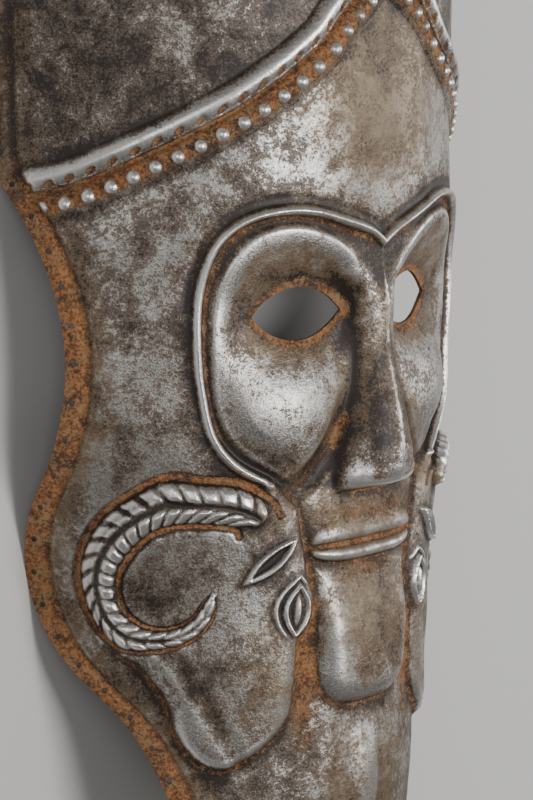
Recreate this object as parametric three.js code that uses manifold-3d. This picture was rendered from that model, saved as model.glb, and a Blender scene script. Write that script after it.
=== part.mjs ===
// Embossed iron plate that guards a horse's face. One sheet, raised from behind into the face of a
// mask (brow loops, pierced eyes, nose, lips and a tongue-shaped beard), a ram's head with a curled
// horn on each cheek, and a rope-and-bead band that crosses the forehead in a pointed arch.
// Millimetres. X runs across, +Y towards the top of the head, +Z away from the horse's face.
// The plate lies face up on its side edges, which touch z = 0.
import * as THREE from 'three';
import Module from 'manifold-3d';
import { mergeVertices } from 'three/addons/utils/BufferGeometryUtils.js';

const wasm = await Module();
wasm.setup();

// The sheet and its overall form
const sheet = 1.4;
const plateLength = 465;
const eyeLine = 270; // from the lower end up to the line of the eyes
const halfGirth = 159; // from the centre line to the edge, along the surface
const sectionRadius = 120;
const crownDrop = 20;
const cornerRadius = 26;
const endSag = 9; // how far the ends arch beyond their corners
const sagReach = 60;
const seatDepth = 0.5; // how much of the lowest edges is ground flat to rest on

// Border and sewing holes
const borderWidth = 7;
const borderGroove = 0.8;
const borderGrooveInset = 8;
const borderGrooveHalfWidth = 3;
const holeDiameter = 2.2;
const holeInset = 3.2;
const holePitch = 14;

// Mask: across from the centre line, along from the eye line
const maskHalfWidth = 79;
const maskHeight = 100;
const loopHeight = 2.9;
const loopHalfWidth = 2.6;
const loopPower = 1.5; // how sharp its crest is
const loopGroove = 1.5; // between a loop and the dome inside it
const eyeAcross = 35;
const eyeBelow = 3;
const eyeLength = 40;
const eyeHeight = 20;
const eyeRecess = 9.6;
const hollowReach = { across: 30, along: 19 };
const domeRim = 1;
const domeRimWidth = 2.5;
const domeRimStart = 2; // where the rim begins, above the eye line
const domeRimFade = 20;
const domeEdge = 10;
const cheekHeight = 4.5;
const cheekAcross = 44;
const cheekBelow = 37;
const cheekReach = { across: 23, along: 19 };
const noseHeight = 15.8;
const noseHalfWidth = 19.5;
const noseBlend = 1.4; // how softly the nose runs into the cheeks
const nosePower = 2.3; // how square its section is
const noseLeast = 3; // the least fall from the nose's crest to its side
const foldDepth = 2.8;
const foldHalfWidth = 6.5;
const foldFade = 0.4; // share of its length over which each end fades out
const mouthBelow = 91.4; // the slit between the lips
const lipHalfWidth = 30;
const upperLipHeight = 4.8;
const upperLipHalfWidth = 5;
const upperLipAbove = 4.4; // its crest above the slit
const lipMoundHeight = 3.2;
const lipMoundHalfWidth = 18;
const lipMoundAbove = 6;
const lipMoundReach = 34; // to its side ends
const lowerLipHeight = 4.6;
const lowerLipHalfWidth = 4.2;
const lowerLipBelow = 4.6;
const upperLipPower = 0.8;
const lowerLipPower = 0.7;
const lipEndPower = 4; // how square the lips' ends are
const lipCorner = 0.4; // share of the lips' spread left at their corners
const beardLength = 54;
const beardBelow = 99.5;
const beardHalfWidth = 27;
const beardHeight = 6.5;
const beardStart = 0.5; // share of its height under the lip
const beardEdge = 11; // width of the slope round it
const beardFoot = 1.3; // how far that slope starts outside the outline
const ridgeHalfWidth = 9;
const ridgeHeight = 2.4;

// Ram's head on each cheek: a point in the middle of the horn's curl places it
const curlAcross = 84;
const curlBelow = 96;
const curlRadius = 27;
const hornWidth = 21;
const hornHeight = 4;
const hornRibs = 17;
const hornRibDepth = 0.9;
const hornGroove = 0.5; // share of the horn's height
const hornGrooveWidth = 0.35; // share of the horn's width
const hornTip = 0.45; // share of its height at the tip
const hornTaper = 0.5; // share of its length that tapers
const hornRootAngle = 148;
const hornOverrun = 8; // degrees that the horn runs on behind its root
const ramHeight = 4.6;
const ramWidth = 76;
const ramLength = 108;
const ramEdge = 10; // width of the slope round the head
const ramFoot = 2; // how far that slope starts outside the outline
const shoulder = 3.3; // where the slopes round the head and the beard grow gentle, inside the outline
const pillowPower = 2.2; // how full those slopes are
const rootSlope = 0.5; // width of the slope round the horn's root, as a share of its half width
const rootFoot = 1.25; // where that slope starts, in the same shares
const rootEnd = 90; // degrees after which the horn has no slope of its own
const earHeight = 2.6;
const earLength = 25;
const earHalfWidth = 3.6;
const earTilt = 140;
const ramEyeHeight = 2.4;
const ramEyeLength = 19;
const ramEyeHalfWidth = 4.7;
const jawDepth = 1.2;
const jawHalfWidth = 4;

// Band: a rope roll above a row of beads
const bandHalfSpan = 139;
const bandRise = 84; // from the band's outer end up to the point of the arch
const bandFoot = 41; // the outer end, above the eye line
const rollOffset = 6;
const rollHalfWidth = 5;
const rollHeight = 3.6;
const rollNotch = 0.8;
const beadOffset = 4.8;
const beadPitch = 8.7;
const beadHalfLength = 3;
const beadHalfWidth = 2.5;
const beadHeight = 1.9;
const beadPower = 0.7;
const bedPower = 0.8;
const bedHalfWidth = 5.1;
const bedHeight = 1.8;

// How closely the faces follow the surface
const plainPitch = plateLength / 29;
const reliefPitch = plateLength / 47;
const edgePitch = plateLength / 58;
const centrePitch = plateLength / 104;
const linePitch = 0.75 * reliefPitch; // along the crests and outlines
const fine = 2.6; // least spacing of points on an outline
const finest = 2; // on the horn, the band and the loops
const crowding = 0.72; // least spacing of the other points, as a share of their pitch
const clearOfCentre = 0.6 * centrePitch;
const clearOfEdge = 0.55 * edgePitch;
const hornShares = [0.62, -0.62, 0, 1, -1]; // rows of points, as shares of its half width
const noseFoot = -0.715; // share of the mask's height below the eye line
const noseTop = 0.2;
const noseShares = [0.35, 0.7, 1.05]; // of its half width
const holeSides = 5;

// Sections: place as a share of the length, radius, crown and half width as shares of their sizes
const stations = [
  { along: 0.0, radius: 0.667, flank: 52, crown: -0.85, half: 0.302 },
  { along: 0.086, radius: 0.683, flank: 55, crown: -0.55, half: 0.403 },
  { along: 0.178, radius: 0.708, flank: 58, crown: -0.325, half: 0.522 },
  { along: 0.237, radius: 0.733, flank: 60, crown: -0.35, half: 0.616 },
  { along: 0.301, radius: 0.792, flank: 63, crown: -0.375, half: 0.792 },
  { along: 0.357, radius: 0.808, flank: 65, crown: -0.375, half: 0.868 },
  { along: 0.409, radius: 0.9, flank: 65, crown: -0.325, half: 0.874 },
  { along: 0.473, radius: 1.033, flank: 65, crown: -0.2, half: 0.824 },
  { along: 0.538, radius: 1.067, flank: 65, crown: -0.175, half: 0.799 },
  { along: 0.591, radius: 1.05, flank: 65, crown: -0.1, half: 0.824 },
  { along: 0.641, radius: 1.008, flank: 65, crown: 0.05, half: 0.893 },
  { along: 0.692, radius: 0.942, flank: 65, crown: 0.15, half: 0.987 },
  { along: 0.742, radius: 0.925, flank: 65, crown: 0.175, half: 1.0 },
  { along: 0.822, radius: 0.983, flank: 64, crown: 0.1, half: 1.0 },
  { along: 0.903, radius: 1.025, flank: 63, crown: -0.1, half: 0.981 },
  { along: 1.0, radius: 1.033, flank: 62, crown: -0.4, half: 0.937 },
];

// Crest of the loop round an eye, in shares of the mask's half width and height
const loopRows = [
  { across: 0.0, along: 0.22 },
  { across: 0.1, along: 0.27 },
  { across: 0.27, along: 0.315 },
  { across: 0.48, along: 0.36 },
  { across: 0.68, along: 0.36 },
  { across: 0.84, along: 0.32 },
  { across: 0.95, along: 0.23 },
  { across: 1.0, along: 0.06 },
  { across: 1.0, along: -0.12 },
  { across: 0.97, along: -0.3 },
  { across: 0.915, along: -0.46 },
  { across: 0.8, along: -0.57 },
  { across: 0.62, along: -0.65 },
];

// Outline of the dome inside a loop, in the same shares
const domeRows = [
  { across: 0.03, along: -0.06 },
  { across: 0.08, along: 0.067 },
  { across: 0.17, along: 0.16 },
  { across: 0.26, along: 0.226 },
  { across: 0.38, along: 0.275 },
  { across: 0.52, along: 0.305 },
  { across: 0.66, along: 0.3 },
  { across: 0.77, along: 0.265 },
  { across: 0.855, along: 0.19 },
  { across: 0.905, along: 0.08 },
  { across: 0.92, along: -0.05 },
  { across: 0.92, along: -0.18 },
  { across: 0.9, along: -0.31 },
  { across: 0.85, along: -0.43 },
  { across: 0.76, along: -0.515 },
  { across: 0.633, along: -0.585 },
  { across: 0.53, along: -0.63 },
  { across: 0.456, along: -0.65 },
  { across: 0.38, along: -0.615 },
  { across: 0.285, along: -0.525 },
  { across: 0.215, along: -0.43 },
  { across: 0.158, along: -0.31 },
  { across: 0.1, along: -0.19 },
  { across: 0.057, along: -0.11 },
];

// Fold from beside the nose round the cheek, in the same shares
const foldRows = [
  { across: 0.14, along: -0.3 },
  { across: 0.18, along: -0.37 },
  { across: 0.24, along: -0.48 },
  { across: 0.32, along: -0.58 },
  { across: 0.42, along: -0.66 },
  { across: 0.52, along: -0.71 },
  { across: 0.63, along: -0.75 },
];

// Nose: height of its crest and half its width, at shares of the mask's height from the eye line
const noseRows = [
  { along: -0.8, height: -2.6, half: 0.97 },
  { along: -0.715, height: 0.0, half: 0.97 },
  { along: -0.69, height: 0.7, half: 1.0 },
  { along: -0.65, height: 0.95, half: 1.0 },
  { along: -0.59, height: 1.0, half: 0.95 },
  { along: -0.5, height: 0.924, half: 0.82 },
  { along: -0.34, height: 0.74, half: 0.66 },
  { along: -0.15, height: 0.45, half: 0.52 },
  { along: 0.0, height: 0.38, half: 0.5 },
  { along: 0.08, height: 0.25, half: 0.6 },
  { along: 0.15, height: 0.114, half: 0.95 },
  { along: 0.22, height: 0.032, half: 1.28 },
  { along: 0.3, height: -0.25, half: 1.3 },
  { along: 0.5, height: -1.5, half: 1.3 },
];

// Half of the beard's outline, in shares of its half width and length
const beardRows = [
  { across: 1.0, down: 0.0 },
  { across: 0.97, down: 0.3 },
  { across: 0.93, down: 0.65 },
  { across: 0.88, down: 0.83 },
  { across: 0.68, down: 0.95 },
  { across: 0.35, down: 1.0 },
  { across: 0.0, down: 1.0 },
];

// Horn, by the angle turned from its root: middle line and width
const hornRows = [
  { turn: 0, radius: 1.311, width: 0.657 },
  { turn: 20, radius: 1.113, width: 0.738 },
  { turn: 42, radius: 0.967, width: 0.676 },
  { turn: 65, radius: 0.946, width: 0.767 },
  { turn: 88, radius: 0.904, width: 0.714 },
  { turn: 110, radius: 0.896, width: 0.743 },
  { turn: 131, radius: 0.913, width: 0.729 },
  { turn: 150, radius: 0.954, width: 0.69 },
  { turn: 170, radius: 1.0, width: 0.63 },
  { turn: 190, radius: 1.07, width: 0.58 },
  { turn: 208, radius: 1.081, width: 0.514 },
  { turn: 226, radius: 1.024, width: 0.367 },
  { turn: 245, radius: 0.961, width: 0.3 },
  { turn: 265, radius: 0.878, width: 0.267 },
  { turn: 283, radius: 0.769, width: 0.224 },
  { turn: 298, radius: 0.69, width: 0.06 },
];

// Outline of the ram's head from the curl's middle, in shares of its width and length
const ramRows = [
  { across: -0.487, along: 0.278 },
  { across: -0.566, along: 0.231 },
  { across: -0.618, along: 0.185 },
  { across: -0.645, along: 0.111 },
  { across: -0.671, along: 0.037 },
  { across: -0.697, along: -0.056 },
  { across: -0.737, along: -0.139 },
  { across: -0.711, along: -0.231 },
  { across: -0.645, along: -0.285 },
  { across: -0.632, along: -0.38 },
  { across: -0.618, along: -0.463 },
  { across: -0.592, along: -0.546 },
  { across: -0.526, along: -0.611 },
  { across: -0.447, along: -0.657 },
  { across: -0.355, along: -0.694 },
  { across: -0.276, along: -0.718 },
  { across: -0.184, along: -0.704 },
  { across: -0.105, along: -0.657 },
  { across: -0.053, along: -0.593 },
  { across: -0.026, along: -0.519 },
  { across: 0.026, along: -0.444 },
  { across: 0.092, along: -0.38 },
  { across: 0.158, along: -0.333 },
  { across: 0.25, along: -0.287 },
  { across: 0.32, along: -0.15 },
  { across: 0.35, along: 0.0 },
  { across: 0.26, along: 0.16 },
  { across: 0.06, along: 0.25 },
  { across: -0.2, along: 0.25 },
  { across: -0.4, along: 0.27 },
];

// The ram's mouth, from the horn's foot to the lips, in the same shares
const jawRows = [
  { across: 0.03, along: -0.27 },
  { across: -0.05, along: -0.33 },
  { across: -0.14, along: -0.44 },
  { across: -0.22, along: -0.54 },
  { across: -0.3, along: -0.63 },
  { across: -0.36, along: -0.72 },
];

// The band's middle line, in shares of its half span and rise
const bandRows = [
  { across: 1.16, along: -0.02 },
  { across: 0.94, along: 0.05 },
  { across: 0.72, along: 0.2 },
  { across: 0.47, along: 0.405 },
  { across: 0.26, along: 0.64 },
  { across: 0.165, along: 0.8 },
  { across: 0.0, along: 1.0 },
];

// Value of a column at a place, on a smooth curve through a table's rows
function follow(rows, key, column, place) {
  const last = rows.length - 1;
  const slope = (i) => (rows[i + 1][column] - rows[i][column]) / (rows[i + 1][key] - rows[i][key]);
  const tangent = (i) => {
    if (i === 0) return slope(0);
    if (i === last) return slope(last - 1);
    const before = rows[i][key] - rows[i - 1][key];
    const after = rows[i + 1][key] - rows[i][key];
    return (before * slope(i) + after * slope(i - 1)) / (before + after);
  };
  let i = 0;
  while (i < last - 1 && place > rows[i + 1][key]) i += 1;
  const span = rows[i + 1][key] - rows[i][key];
  const t = THREE.MathUtils.clamp((place - rows[i][key]) / span, 0, 1);
  const start = (2 * t ** 3 - 3 * t ** 2 + 1) * rows[i][column] + (t ** 3 - 2 * t ** 2 + t) * span * tangent(i);
  const end = (3 * t ** 2 - 2 * t ** 3) * rows[i + 1][column] + (t ** 3 - t ** 2) * span * tangent(i + 1);
  return start + end;
}

// A rounded ridge that is 1 at its crest (0) and level with the sheet at its foot (1)
const ridge = (t, power = 1.6) => (Math.abs(t) < 1 ? (1 - t * t) ** power : 0);
// A soft step from 0 to 1
const step = (t) => THREE.MathUtils.smoothstep(t, 0, 1);

// Smooth line through rows of shares, as points of the developed sheet
function lineThrough(rows, place, divisions) {
  return new THREE.SplineCurve(rows.map(place)).getPoints(divisions);
}

// Nearest place on a line: distance, and share of its length
function nearest(line, s, y) {
  let best = { distance: Infinity, share: 0 };
  for (let i = 0; i < line.length - 1; i += 1) {
    const a = line[i];
    const b = line[i + 1];
    const dx = b.x - a.x;
    const dy = b.y - a.y;
    const t = THREE.MathUtils.clamp(((s - a.x) * dx + (y - a.y) * dy) / (dx * dx + dy * dy), 0, 1);
    const distance = Math.hypot(s - a.x - t * dx, y - a.y - t * dy);
    if (distance < best.distance) best = { distance, share: (i + t) / (line.length - 1) };
  }
  return best;
}

// Distance inside a closed outline, negative outside
function depthInside(outline, s, y) {
  let inside = false;
  for (let i = 0, j = outline.length - 1; i < outline.length; j = i, i += 1) {
    const a = outline[i];
    const b = outline[j];
    const crosses = a.y > y !== b.y > y;
    if (crosses && s < a.x + ((y - a.y) / (b.y - a.y)) * (b.x - a.x)) inside = !inside;
  }
  const { distance } = nearest([...outline, outline[0]], s, y);
  return inside ? distance : -distance;
}

const bottom = -eyeLine;
const top = plateLength - eyeLine;
const share = (y) => (y - bottom) / plateLength;
const section = (y) => ({
  radius: sectionRadius * follow(stations, 'along', 'radius', share(y)),
  flank: THREE.MathUtils.degToRad(follow(stations, 'along', 'flank', share(y))),
  crown: crownDrop * follow(stations, 'along', 'crown', share(y)),
});

const fullWidth = (y) => halfGirth * follow(stations, 'along', 'half', share(y));

// Half width of the developed sheet, with its corners rounded
function halfWidth(y) {
  const full = fullWidth(y);
  const toEnd = Math.min(y - bottom, top - y);
  if (toEnd >= cornerRadius) return full;
  return full - cornerRadius + Math.sqrt(Math.max(cornerRadius ** 2 - (cornerRadius - toEnd) ** 2, 0));
}

const bandLine = lineThrough(
  bandRows,
  (r) => new THREE.Vector2(r.across * bandHalfSpan, bandFoot + r.along * bandRise),
  60,
);
const maskPoint = (r) => new THREE.Vector2(r.across * maskHalfWidth, r.along * maskHeight);
const loopLine = lineThrough(loopRows, maskPoint, 60);
const foldLine = lineThrough(foldRows, maskPoint, 30);
const domeLine = lineThrough([...domeRows, domeRows[0]], maskPoint, 80);
const underNose = [
  { across: 0.3, along: -0.7 },
  { across: 0, along: -0.72 },
];
const loopField = [...loopLine, ...underNose.map(maskPoint)];
const beardLine = lineThrough(
  beardRows,
  (r) => new THREE.Vector2(r.across * beardHalfWidth, -beardBelow - r.down * beardLength),
  30,
);
const beardField = [...beardLine, new THREE.Vector2(-beardHalfWidth, -beardBelow - beardLength)];
beardField.push(new THREE.Vector2(-beardHalfWidth, -beardBelow));
const ramPoint = (r) => new THREE.Vector2(curlAcross + r.across * ramWidth, -curlBelow + r.along * ramLength);
const ramLine = lineThrough([...ramRows, ramRows[0]], ramPoint, 90);
const jawLine = lineThrough(jawRows, ramPoint, 18);
const earMiddle = ramPoint({ across: -0.488, along: 0.018 });
const ramEyeMiddle = ramPoint({ across: -0.63, along: -0.167 });

// A soft hill, 1 at its middle
function hill(across, along, reach) {
  return Math.exp(-((across / reach.across) ** 2) - (along / reach.along) ** 2);
}

// Height of the loops, the groove inside them, and the dome with the hollow round the eye
function maskRelief(s, y) {
  const loop = nearest(loopLine, s, y).distance;
  const dome = depthInside(domeLine, s, y);
  const rim = domeRim * step((dome + 1) / domeRimWidth) * step((y - domeRimStart) / domeRimFade);
  let height = loopHeight * ridge(loop / loopHalfWidth, loopPower);
  if (dome > 0) {
    const hollow = -eyeRecess * hill(s - eyeAcross, y + eyeBelow, hollowReach);
    const cheek = cheekHeight * hill(s - cheekAcross, y + cheekBelow, cheekReach);
    height += (hollow + cheek) * step(dome / domeEdge) + rim;
  } else if (depthInside(loopField, s, y) > 0) {
    height += rim - (loopGroove * 4 * -dome * loop) / (loop - dome) ** 2;
  }
  const fold = nearest(foldLine, s, y);
  const fade = step(fold.share / foldFade) * step((1 - fold.share) / foldFade);
  return height - foldDepth * fade * ridge(fold.distance / foldHalfWidth, 1);
}

function noseSurface(s, y) {
  const crest = noseHeight * follow(noseRows, 'along', 'height', y / maskHeight);
  const half = noseHalfWidth * follow(noseRows, 'along', 'half', y / maskHeight);
  return crest - Math.max(crest, noseLeast) * (s / half) ** nosePower;
}

// Upper lip on a low mound, and lower lip, with a slit between them
function mouthRelief(s, y) {
  const above = y + mouthBelow;
  const full = Math.max(1 - (s / lipHalfWidth) ** lipEndPower, 0);
  const open = above / (lipCorner + (1 - lipCorner) * full);
  const upper = upperLipHeight * ridge((open - upperLipAbove) / upperLipHalfWidth, upperLipPower);
  const lower = lowerLipHeight * ridge((open + lowerLipBelow) / lowerLipHalfWidth, lowerLipPower);
  const mound = lipMoundHeight * ridge((above - lipMoundAbove) / lipMoundHalfWidth, 1);
  return Math.max(Math.sqrt(full) * Math.max(upper, lower), mound * ridge(s / lipMoundReach, 1));
}

// Where a point lies on the horn: the angle turned from the root and the place across it (-1 to 1)
function onHorn(s, y) {
  const across = s - curlAcross;
  const along = y + curlBelow;
  let turn = hornRootAngle - THREE.MathUtils.radToDeg(Math.atan2(along, across));
  if (turn < -30) turn += 360;
  const last = hornRows[hornRows.length - 1].turn;
  if (turn < -hornOverrun || turn > last) return { turn, across: Infinity };
  const middle = curlRadius * follow(hornRows, 'turn', 'radius', turn);
  const half = (hornWidth / 2) * follow(hornRows, 'turn', 'width', turn);
  return { turn, across: (Math.hypot(across, along) - middle) / half };
}

function hornPoint(turn, across) {
  const angle = THREE.MathUtils.degToRad(hornRootAngle - turn);
  const middle = curlRadius * follow(hornRows, 'turn', 'radius', turn);
  const half = (hornWidth / 2) * follow(hornRows, 'turn', 'width', turn);
  const radius = middle + across * half;
  return new THREE.Vector2(curlAcross + radius * Math.cos(angle), -curlBelow + radius * Math.sin(angle));
}

// Place in a pointed lens: 0 in its middle, 1 on its outline
function lens(along, across, length, halfWidth) {
  return Math.abs(across) / halfWidth + (along / (length / 2)) ** 2;
}

// Rise of a pillow from its foot: steep at first, level at a reach inside
function rounded(depth, reach) {
  return 1 - (1 - THREE.MathUtils.clamp(depth / reach, 0, 1)) ** pillowPower;
}

function ramRelief(s, y) {
  const horn = onHorn(s, y);
  const start = step((horn.turn + hornOverrun / 2) / hornOverrun);
  const end = step((rootEnd - horn.turn) / (0.55 * rootEnd));
  const underRoot = rounded(rootFoot - Math.abs(horn.across), rootSlope) * start * end;
  let height = ramHeight * Math.max(rounded(depthInside(ramLine, s, y) + ramFoot, ramEdge), underRoot);
  if (Math.abs(horn.across) < 1) {
    const last = hornRows[hornRows.length - 1].turn;
    const taper = hornTip + (1 - hornTip) * step((last - horn.turn) / (hornTaper * last));
    const root = step((horn.turn + hornOverrun) / hornOverrun);
    const round = Math.sqrt(1 - horn.across ** 2) - hornGroove * ridge(horn.across / hornGrooveWidth);
    const rib = Math.cos((2 * Math.PI * hornRibs * horn.turn) / last);
    height += root * taper * (hornHeight * round + hornRibDepth * rib * Math.abs(horn.across));
  }
  const turned = -THREE.MathUtils.degToRad(earTilt);
  const ear = new THREE.Vector2(s, y).sub(earMiddle).rotateAround(new THREE.Vector2(), turned);
  height += earHeight * ridge(lens(ear.x, ear.y, earLength, earHalfWidth));
  height += ramEyeHeight * ridge(lens(y - ramEyeMiddle.y, s - ramEyeMiddle.x, ramEyeLength, ramEyeHalfWidth));
  return height - jawDepth * ridge(nearest(jawLine, s, y).distance / jawHalfWidth);
}

function bandRelief(s, y) {
  const { distance, share: place } = nearest(bandLine, s, y);
  const lineY = followLine(bandLine, s);
  const above = y > lineY ? distance : -distance;
  const length = bandLength * place;
  const notch = rollNotch * Math.cos((2 * Math.PI * length) / beadPitch);
  const roll = (rollHeight + notch) * ridge((above - rollOffset) / rollHalfWidth);
  const alongBead = length - beadPitch * Math.round(length / beadPitch);
  const fromBead = Math.hypot(alongBead / beadHalfLength, (above + beadOffset) / beadHalfWidth);
  const bed = bedHeight * ridge((above + beadOffset) / bedHalfWidth, bedPower);
  return Math.max(roll, bed + beadHeight * ridge(fromBead, beadPower));
}

// Height of a line over a place across, where the line runs inwards
function followLine(line, s) {
  let i = 0;
  while (i < line.length - 2 && line[i + 1].x > s) i += 1;
  const t = (s - line[i].x) / (line[i + 1].x - line[i].x);
  return line[i].y + t * (line[i + 1].y - line[i].y);
}
const bandLength = new THREE.Path(bandLine).getLength();

// Height of the embossing over the plain form
function relief(s, y) {
  const inset = halfWidth(y) - s;
  const mask = maskRelief(s, y);
  const nose = noseSurface(s, y);
  let height = (mask + nose + Math.hypot(mask - nose, noseBlend)) / 2 + mouthRelief(s, y);
  const beard = beardHeight * (beardStart + (1 - beardStart) * step((-beardBelow - y) / beardHalfWidth));
  height += rounded(depthInside(beardField, s, y) + beardFoot, beardEdge) * Math.max(beard - height, 0);
  height += ramRelief(s, y) + bandRelief(s, y);
  const belowBeard = (-beardBelow - beardLength - y) / beardHalfWidth;
  height += ridgeHeight * step(belowBeard) * ridge(s / ridgeHalfWidth);
  const border = -borderGroove * ridge((inset - borderGrooveInset) / borderGrooveHalfWidth);
  return height * step((inset - borderWidth) / borderWidth) + border;
}

// A point of the developed sheet in space, raised by a height
function lift(s, y, height) {
  const { radius, flank, crown } = section(y);
  const turned = Math.min(Math.abs(s) / radius, flank);
  const straight = Math.max(Math.abs(s) - radius * flank, 0);
  const side = Math.sign(s);
  const x = side * (radius * Math.sin(turned) + straight * Math.cos(turned));
  const z = crown - radius * (1 - Math.cos(turned)) - straight * Math.sin(turned);
  const reach = (s / fullWidth(y)) ** 2;
  const sag = endSag * reach * (step((bottom - y) / sagReach + 1) - step((y - top) / sagReach + 1));
  const normal = new THREE.Vector3(side * Math.sin(turned), 0, Math.cos(turned));
  return new THREE.Vector3(x, y + sag, z).addScaledVector(normal, height);
}

// Even stations from one value to another, no further apart than a pitch
function even(from, to, pitch) {
  const count = Math.max(Math.ceil(Math.abs(to - from) / pitch), 1);
  return Array.from({ length: count + 1 }, (_, i) => from + ((to - from) * i) / count);
}

// Half of the sheet's edge, from the lower end of the centre line to its upper end
function edgeLine(pitch) {
  const points = even(0, halfWidth(bottom), pitch).slice(0, -1).map((s) => [s, bottom]);
  const arc = even(0, Math.PI / 2, pitch / cornerRadius).slice(0, -1);
  const lower = arc.map((a) => bottom + cornerRadius * (1 - Math.cos(a)));
  const upper = arc.map((a) => top - cornerRadius * (1 - Math.cos(a))).reverse();
  const side = even(bottom + cornerRadius, top - cornerRadius, pitch);
  [...lower, ...side, ...upper].forEach((y) => points.push([halfWidth(y), y]));
  even(halfWidth(top), 0, pitch).slice(1).forEach((s) => points.push([s, top]));
  return points.map(([s, y]) => new THREE.Vector2(s, y));
}

// Points beside a line, at an offset to its left
function beside(line, offset, pitch) {
  const path = new THREE.Path(line);
  const count = Math.max(Math.round(path.getLength() / pitch), 1);
  return Array.from({ length: count + 1 }, (_, i) => {
    const point = path.getPointAt(i / count);
    const along = path.getTangentAt(i / count);
    return new THREE.Vector2(point.x - along.y * offset, point.y + along.x * offset);
  });
}

// The points that carry the surface, the important ones first: none is nearer to an earlier one
// than its own spacing, and none crowds the edge or the centre line
function layPoints(edge) {
  const points = [...edge];
  even(bottom, top, centrePitch).slice(1, -1).forEach((y) => points.push(new THREE.Vector2(0, y)));
  const add = (candidates, spacing) => {
    candidates.forEach((p) => {
      if (p.x < clearOfCentre || depthInside(edge, p.x, p.y) < clearOfEdge) return;
      if (points.every((q) => q.distanceTo(p) >= spacing)) points.push(p);
    });
  };
  const hornLength = hornRows[hornRows.length - 1].turn;
  const hornTurns = even(0, hornLength, hornLength / (2 * hornRibs));
  hornShares.forEach((across) => add(hornTurns.map((turn) => hornPoint(turn, across)), finest));
  add(beside(bandLine, beadOffset, beadPitch / 2), finest);
  add(beside(bandLine, -rollOffset, beadPitch / 2), finest);
  [0, beadOffset + bedHalfWidth, -rollOffset - rollHalfWidth].forEach((offset) => {
    add(beside(bandLine, offset, beadPitch), 1.5 * finest);
  });
  [0, loopHalfWidth, -loopHalfWidth].forEach((offset) => add(beside(loopLine, offset, linePitch), finest));
  [domeLine, foldLine, jawLine].forEach((line) => add(beside(line, 0, linePitch), fine));
  add(beside(ramLine, -ramFoot, linePitch), fine);
  add(beside(ramLine, shoulder, linePitch), fine);
  add(beside(beardLine, beardFoot, linePitch), fine);
  add(beside(beardLine, -shoulder, linePitch), fine);
  [upperLipAbove - mouthBelow, -mouthBelow, -mouthBelow - lowerLipBelow].forEach((y) => {
    add(even(fine, lipHalfWidth, linePitch).map((s) => new THREE.Vector2(s, y)), fine);
  });
  even(noseFoot, noseTop, reliefPitch / maskHeight).forEach((along) => {
    const half = noseHalfWidth * follow(noseRows, 'along', 'half', along);
    add(noseShares.map((t) => new THREE.Vector2(t * half, along * maskHeight)), fine);
  });
  add([earMiddle, ramEyeMiddle], finest);
  add(beside(edge, borderWidth, edgePitch), 0.6 * edgePitch);
  const embossedFrom = -beardBelow - beardLength - plainPitch;
  const embossedTo = maskHeight / 2;
  lattice(reliefPitch).forEach((p) => {
    if (p.y > embossedFrom && p.y < embossedTo && relief(p.x, p.y) !== 0) add([p], crowding * reliefPitch);
  });
  lattice(plainPitch).forEach((p) => add([p], crowding * plainPitch));
  return points;
}

// Points of a triangular lattice over the half sheet
function lattice(pitch) {
  const points = [];
  even(bottom, top, pitch * 0.866).forEach((y, row) => {
    for (let s = row % 2 ? pitch / 2 : pitch; s < halfGirth; s += pitch) {
      points.push(new THREE.Vector2(s, y + 0.05 * Math.sin(s + row)));
    }
  });
  return points;
}

// Triangles over scattered points, each with no other point in its circle
function triangulate(points) {
  const all = [...points];
  const far = 20 * plateLength;
  all.push(new THREE.Vector2(-far, -far), new THREE.Vector2(far, -far), new THREE.Vector2(0, far));
  const circle = (a, b, c) => {
    const [p, q, r] = [all[a], all[b], all[c]];
    const twice = 2 * (p.x * (q.y - r.y) + q.x * (r.y - p.y) + r.x * (p.y - q.y));
    const [pp, qq, rr] = [p.lengthSq(), q.lengthSq(), r.lengthSq()];
    const x = (pp * (q.y - r.y) + qq * (r.y - p.y) + rr * (p.y - q.y)) / twice;
    const y = (pp * (r.x - q.x) + qq * (p.x - r.x) + rr * (q.x - p.x)) / twice;
    return { corners: [a, b, c], x, y, squared: (p.x - x) ** 2 + (p.y - y) ** 2 };
  };
  let triangles = [circle(points.length, points.length + 1, points.length + 2)];
  points.forEach((point, index) => {
    const rim = new Map();
    triangles = triangles.filter((t) => {
      if ((point.x - t.x) ** 2 + (point.y - t.y) ** 2 >= t.squared) return true;
      t.corners.forEach((a, i) => {
        const b = t.corners[(i + 1) % 3];
        if (!rim.delete(`${b},${a}`)) rim.set(`${a},${b}`, [a, b]);
      });
      return false;
    });
    rim.forEach(([a, b]) => triangles.push(circle(a, b, index)));
  });
  return triangles.map((t) => t.corners).filter((corners) => corners.every((i) => i < points.length));
}

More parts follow.
